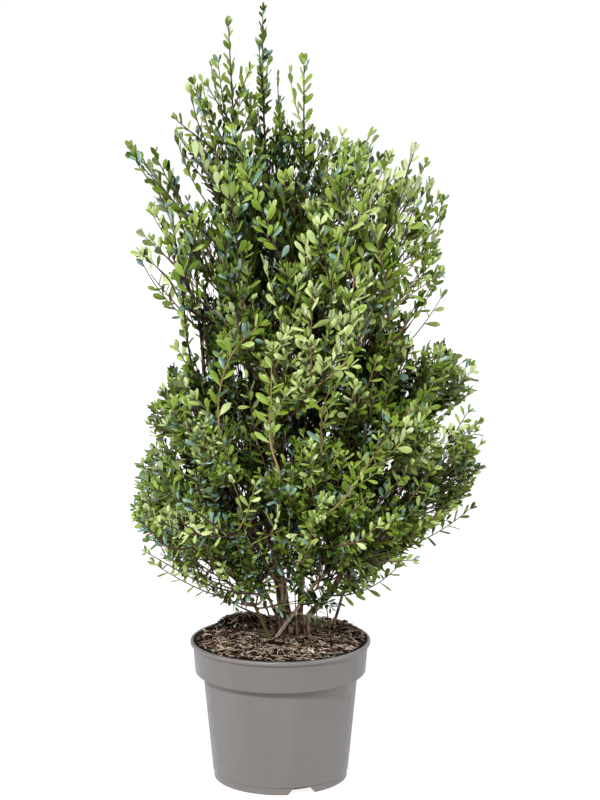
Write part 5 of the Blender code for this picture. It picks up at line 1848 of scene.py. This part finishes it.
def notch_cutter(index):
    """A wedge through the foot ring, wider at the ground."""
    bm = bmesh.new()
    bmesh.ops.create_cube(bm, size=1)
    slope = (NOTCH_FOOT_WIDTH - NOTCH_TOP_WIDTH) / 2 / NOTCH_HEIGHT
    for vertex in bm.verts:
        height = NOTCH_HEIGHT if vertex.co.z > 0 else -0.01
        half = NOTCH_FOOT_WIDTH / 2 - slope * height
        along = FOOT_RADIUS - NOTCH_DEPTH if vertex.co.x < 0 else FOOT_RADIUS + 0.01
        vertex.co = (along, math.copysign(half, vertex.co.y), height)
    turn = NOTCH_TURN + index * math.tau / NOTCHES
    bmesh.ops.transform(bm, matrix=Matrix.Rotation(turn, 4, "Z"), verts=bm.verts)
    return linked_shape("notch", bm)


def make_pot(material):
    pot = turned("pot_shell", pot_profile(), POT_SIDES)
    cutters = [notch_cutter(index) for index in range(NOTCHES)]
    for cutter in cutters:
        modifier = pot.modifiers.new("Notch", "BOOLEAN")
        modifier.operation = "DIFFERENCE"
        modifier.object = cutter
    bpy.context.view_layer.update()
    pot.data = bpy.data.meshes.new_from_object(pot.evaluated_get(bpy.context.evaluated_depsgraph_get()))
    pot.modifiers.clear()
    for cutter in cutters:
        bpy.data.objects.remove(cutter)
    pot.data.materials.clear()
    pot.data.materials.append(material)
    pot.data.shade_smooth()
    pot.data.set_sharp_from_angle(angle=math.radians(38))
    dress(pot, "pot", "pot")


# Soil


def soil_height(x, y):
    """As in the model: flat round the stems, lumpy beyond, falling to the wall, with one mound."""
    spot = Vector((x, y, 0))
    beyond = max(0.0, (spot - PLATEAU_CENTRE).length - PLATEAU_RADIUS)
    height = FOOT_LEVEL - GAP + (SOIL_EDGE - FOOT_LEVEL) * min(1.0, beyond / SOIL_SLOPE)
    lumps = noise.noise(spot * 45) * SOIL_LUMP
    mound = MOUND_HEIGHT * max(0.0, 1 - ((spot - MOUND_CENTRE).length / MOUND_RADIUS) ** 2)
    return height + (lumps + mound) * min(1.0, beyond / SOIL_BLEND)


def crumbs(x, y):
    """Fine lumps of compost, up to a few millimetres high."""
    spot = Vector((x, y, 0))
    return CRUMB_HEIGHT * (noise.noise(spot * 130) + 0.6 * noise.noise(spot * 300) - 0.25)


def make_soil_bed(material):
    """The lumpy top of the compost, closed below as a shallow plug."""
    points = [(0, 0, soil_height(0, 0) + crumbs(0, 0))]
    for ring in range(1, SOIL_RINGS + 1):
        radius = SOIL_RADIUS * (ring / SOIL_RINGS) ** SOIL_RING_POWER
        for spoke in range(SOIL_SPOKES):
            turn = spoke * math.tau / SOIL_SPOKES
            x, y = radius * math.cos(turn), radius * math.sin(turn)
            inner = min(1.0, (SOIL_RADIUS - radius) / SMOOTH_AT_WALL)
            points.append((x, y, soil_height(x, y) + crumbs(x, y) * inner))
    rim = len(points) - SOIL_SPOKES
    low = SOIL_EDGE - SOIL_DEPTH
    points += [(x * SOIL_TAPER, y * SOIL_TAPER, low) for x, y, _ in points[rim:]]
    points.append((0, 0, low))
    faces = []
    for spoke in range(SOIL_SPOKES):
        following = (spoke + 1) % SOIL_SPOKES
        faces.append((0, 1 + spoke, 1 + following))
        for ring in range(SOIL_RINGS):
            inner = 1 + ring * SOIL_SPOKES
            outer = inner + SOIL_SPOKES
            faces.append((inner + spoke, outer + spoke, outer + following))
            faces.append((inner + spoke, outer + following, inner + following))
        last = 1 + SOIL_RINGS * SOIL_SPOKES
        faces.append((last + following, last + spoke, len(points) - 1))
    piece = piece_from_arrays("soil_bed", np.array(points), np.array(faces), 0, [material])
    dress(piece, "soil", "soil")


def soil_spots(number, draws, spare):
    """Random places on the soil, off the wall by the spare."""
    spots = []
    while len(spots) < number:
        radius = (SOIL_RADIUS - spare) * math.sqrt(draws.random())
        turn = draws.uniform(0, math.tau)
        spots.append((radius * math.cos(turn), radius * math.sin(turn)))
    return spots


def make_chips(materials, shares):
    """Flakes of bark lying every way: boxes with uneven corners."""
    draws = seeded("chips")
    corners = np.array(list(itertools.product((-1.0, 1.0), repeat=3)))
    quads = ((0, 1, 3, 2), (4, 6, 7, 5), (0, 4, 5, 1), (2, 3, 7, 6), (0, 2, 6, 4), (1, 5, 7, 3))
    box = np.array([face for a, b, c, d in quads for face in ((a, b, c), (a, c, d))])
    batches, tints = [], []
    for x, y in soil_spots(CHIPS, draws, CHIP_SPARE):
        long = draws.uniform(*CHIP_LENGTHS) * (LONG_CHIP if draws.random() < LONG_CHIP_CHANCE else 1.0)
        long = min(long, SOIL_RADIUS - math.hypot(x, y) + CHIP_INTO_WALL)
        size = np.array((long, long * draws.uniform(*CHIP_WIDTHS), draws.uniform(*CHIP_THICKNESSES)))
        points = corners * size * draws.uniform(*CHIP_UNEVENNESS, (8, 3))
        pitch, roll = (Matrix.Rotation(draws.normal(0, CHIP_TILT), 3, axis) for axis in "XY")
        turned_by = Matrix.Rotation(draws.uniform(0, math.tau), 3, "Z") @ (pitch @ roll)
        points = points @ np.array(turned_by).T
        points += (x, y, soil_height(x, y) + crumbs(x, y) + CHIP_THICKNESSES[0])
        batches.append((points, box))
        tints += [draws.choice(len(materials), p=shares)] * len(box)
    points, faces = joined(batches)
    dress(piece_from_arrays("soil_chips", points, faces, np.array(tints), materials, smooth=False), "soil")


def make_fibres(materials, shares):
    """Thin strands of bark and root that lie over the chips in loose bends."""
    draws = seeded("fibres")
    starts, headings, lengths = [], [], []
    for x, y in soil_spots(FIBRES, draws, FIBRE_SPARE):
        turn = draws.uniform(0, math.tau)
        starts.append((x, y, 0.0))
        headings.append((math.cos(turn), math.sin(turn), draws.uniform(*FIBRE_SLOPES)))
        lengths.append(min(draws.uniform(*FIBRE_LENGTHS), 2 * (SOIL_RADIUS - math.hypot(x, y))))
    share = np.linspace(-0.5, 0.5, FIBRE_POINTS)[None, :, None]
    starts, headings, lengths = np.array(starts)[:, None], np.array(headings)[:, None], np.array(lengths)
    sideways = np.cross(headings, UPWARD) * draws.normal(0, FIBRE_BEND, (FIBRES, 1, 1))
    paths = starts + (headings * share + sideways * (share**2 * 2 - 0.2)) * lengths[:, None, None]
    paths[:, :, 2] = np.array([[soil_height(x, y) + FIBRE_LIFT for x, y, _ in path] for path in paths])
    lifts = draws.uniform(0, FIBRE_LAYER, FIBRES)[:, None]
    paths[:, :, 2] += lifts + draws.normal(0, FIBRE_WAVES, (FIBRES, FIBRE_POINTS))
    swell = 1 - 0.7 * np.linspace(-1, 1, FIBRE_POINTS) ** 2
    points, faces, each = tubes(paths, draws.uniform(*FIBRE_RADII, FIBRES)[:, None] * swell, 3)
    tints = np.repeat(draws.choice(len(materials), FIBRES, p=shares), each)
    dress(piece_from_arrays("soil_fibres", points, faces, tints, materials), "soil")


def make_soil_greens(materials, shares):
    """Fallen leaves and bits of green on the compost."""
    draws = seeded("soil greens")
    spots = soil_spots(SOIL_GREENS, draws, LITTER_SPARE)
    turn = draws.uniform(0, math.tau, SOIL_GREENS)
    direction = unit(np.stack([np.cos(turn), np.sin(turn), draws.normal(0, 0.2, SOIL_GREENS)], -1))
    leaves = {
        "root": np.array([(x, y, soil_height(x, y) + LITTER_LIFT) for x, y in spots]),
        "direction": direction,
        "normal": square_to(UPWARD + draws.normal(0, 0.25, (SOIL_GREENS, 3)), direction),
        "length": draws.uniform(*LITTER_LENGTHS, SOIL_GREENS),
        "width": draws.uniform(0.8, 1.2, SOIL_GREENS),
        "fold": np.full(SOIL_GREENS, LEAF_FOLD),
        "curl": draws.uniform(-0.2, 0.3, SOIL_GREENS),
        "tint": np.zeros(SOIL_GREENS, int),
    }
    points, faces, _ = NEAR_LEAF.arrays(leaves)
    tints = np.repeat(draws.choice(len(materials), SOIL_GREENS, p=shares), len(NEAR_LEAF.faces))
    dress(piece_from_arrays("soil_greens", points, faces, tints, materials), "soil")


def make_soil():
    chips = [crumb_material(f"chip_{name}", dark, pale) for name, (dark, pale, _, _) in COMPOST.items()]
    litter = [leaf_material(f"litter_{name}", colour, rough) for name, (colour, rough, _) in LITTER.items()]
    # Its near-black tones are partly painted shade between the chips
    make_soil_bed(crumb_material("soil_bed", *BED_AND_SHADE_TONES))
    make_chips(chips, [among_chips for _, _, among_chips, _ in COMPOST.values()])
    make_fibres(chips, [among_fibres for _, _, _, among_fibres in COMPOST.values()])
    make_soil_greens(litter, [share for _, _, share in LITTER.values()])


# Floor, lights and camera


def make_floor():
    bm = bmesh.new()
    bmesh.ops.create_grid(bm, x_segments=4, y_segments=4, size=FLOOR_SIZE / 2)
    floor = linked_shape("floor", bm)
    material, tree, shader, place = new_material("floor_white", (FLOOR_GREY,) * 3, 0.9)
    rough = range_of(tree, noise_of(tree, place, FLOOR_GRAIN), 0.85, 0.95)
    tree.links.new(rough, shader.inputs["Roughness"])
    shader.inputs["Emission Color"].default_value = (1, 1, 1, 1)
    shader.inputs["Emission Strength"].default_value = FLOOR_GLOW
    floor.data.materials.append(material)


def make_lights():
    world = bpy.data.worlds.new("studio")
    bpy.context.scene.world = world
    world.use_nodes = True
    tree = world.node_tree
    upward = tree.nodes.new("ShaderNodeSeparateXYZ")
    tree.links.new(tree.nodes.new("ShaderNodeTexCoord").outputs["Generated"], upward.inputs["Vector"])
    level = range_of(tree, upward.outputs["Z"], SKY_LOW, SKY_HIGH, 0.10, 0.32)
    tree.links.new(level, tree.nodes["Background"].inputs["Strength"])
    tree.nodes["Background"].inputs["Color"].default_value = (1, 1, 1, 1)
    for name, (place, strength, softness) in LIGHTS.items():
        light = bpy.data.lights.new(name, "SUN")
        light.energy = strength
        light.angle = math.radians(softness)
        obj = linked(name, light)
        obj.location = place
        obj.rotation_euler = (-Vector(place)).to_track_quat("-Z", "Y").to_euler()


def make_camera():
    camera = bpy.data.cameras.new("camera")
    camera.sensor_fit = "VERTICAL"
    camera.sensor_height = SENSOR_HEIGHT
    camera.lens = SENSOR_HEIGHT * CAMERA_FOCUS_PIXELS / FRAME_PIXELS[1]
    obj = linked("camera", camera)
    obj.location = CAMERA_PLACE
    obj.rotation_euler = (math.pi / 2 - CAMERA_TILT, 0, -CAMERA_TURN)
    bpy.context.scene.camera = obj


def main():
    bpy.context.scene.view_settings.view_transform = "Standard"
    make_camera()
    make_lights()
    make_floor()
    make_pot(pot_material())
    make_soil()
    make_limbs({
        "bark": bark_material(),
        # The cane's tones are raised as painted light on it
        "cane": crumb_material("cane_bark", *CANE_TONES_AND_PAINTED_LIGHT, 0.6, 0.3),
        "shoot_left": crumb_material("green_cane_bark", *GREEN_CANE_TONES, 0.6),
    })
    uppers = [leaf_material(f"leaf_{name}", upper, UPPER_ROUGHNESS, shine) for name, upper, _, shine in TINTS]
    unders = [leaf_material(f"leaf_{name}_under", under, UNDER_ROUGHNESS, UNDER_SHINE * shine)
              for name, _, under, shine in TINTS]
    twigs = [twig_material(f"twig_{name}", colour) for name, colour in TWIG_TINTS]
    grow_crown(plan_limbs(LIMB_STEP, BOUGH_PIECES), uppers + unders, twigs)


main()
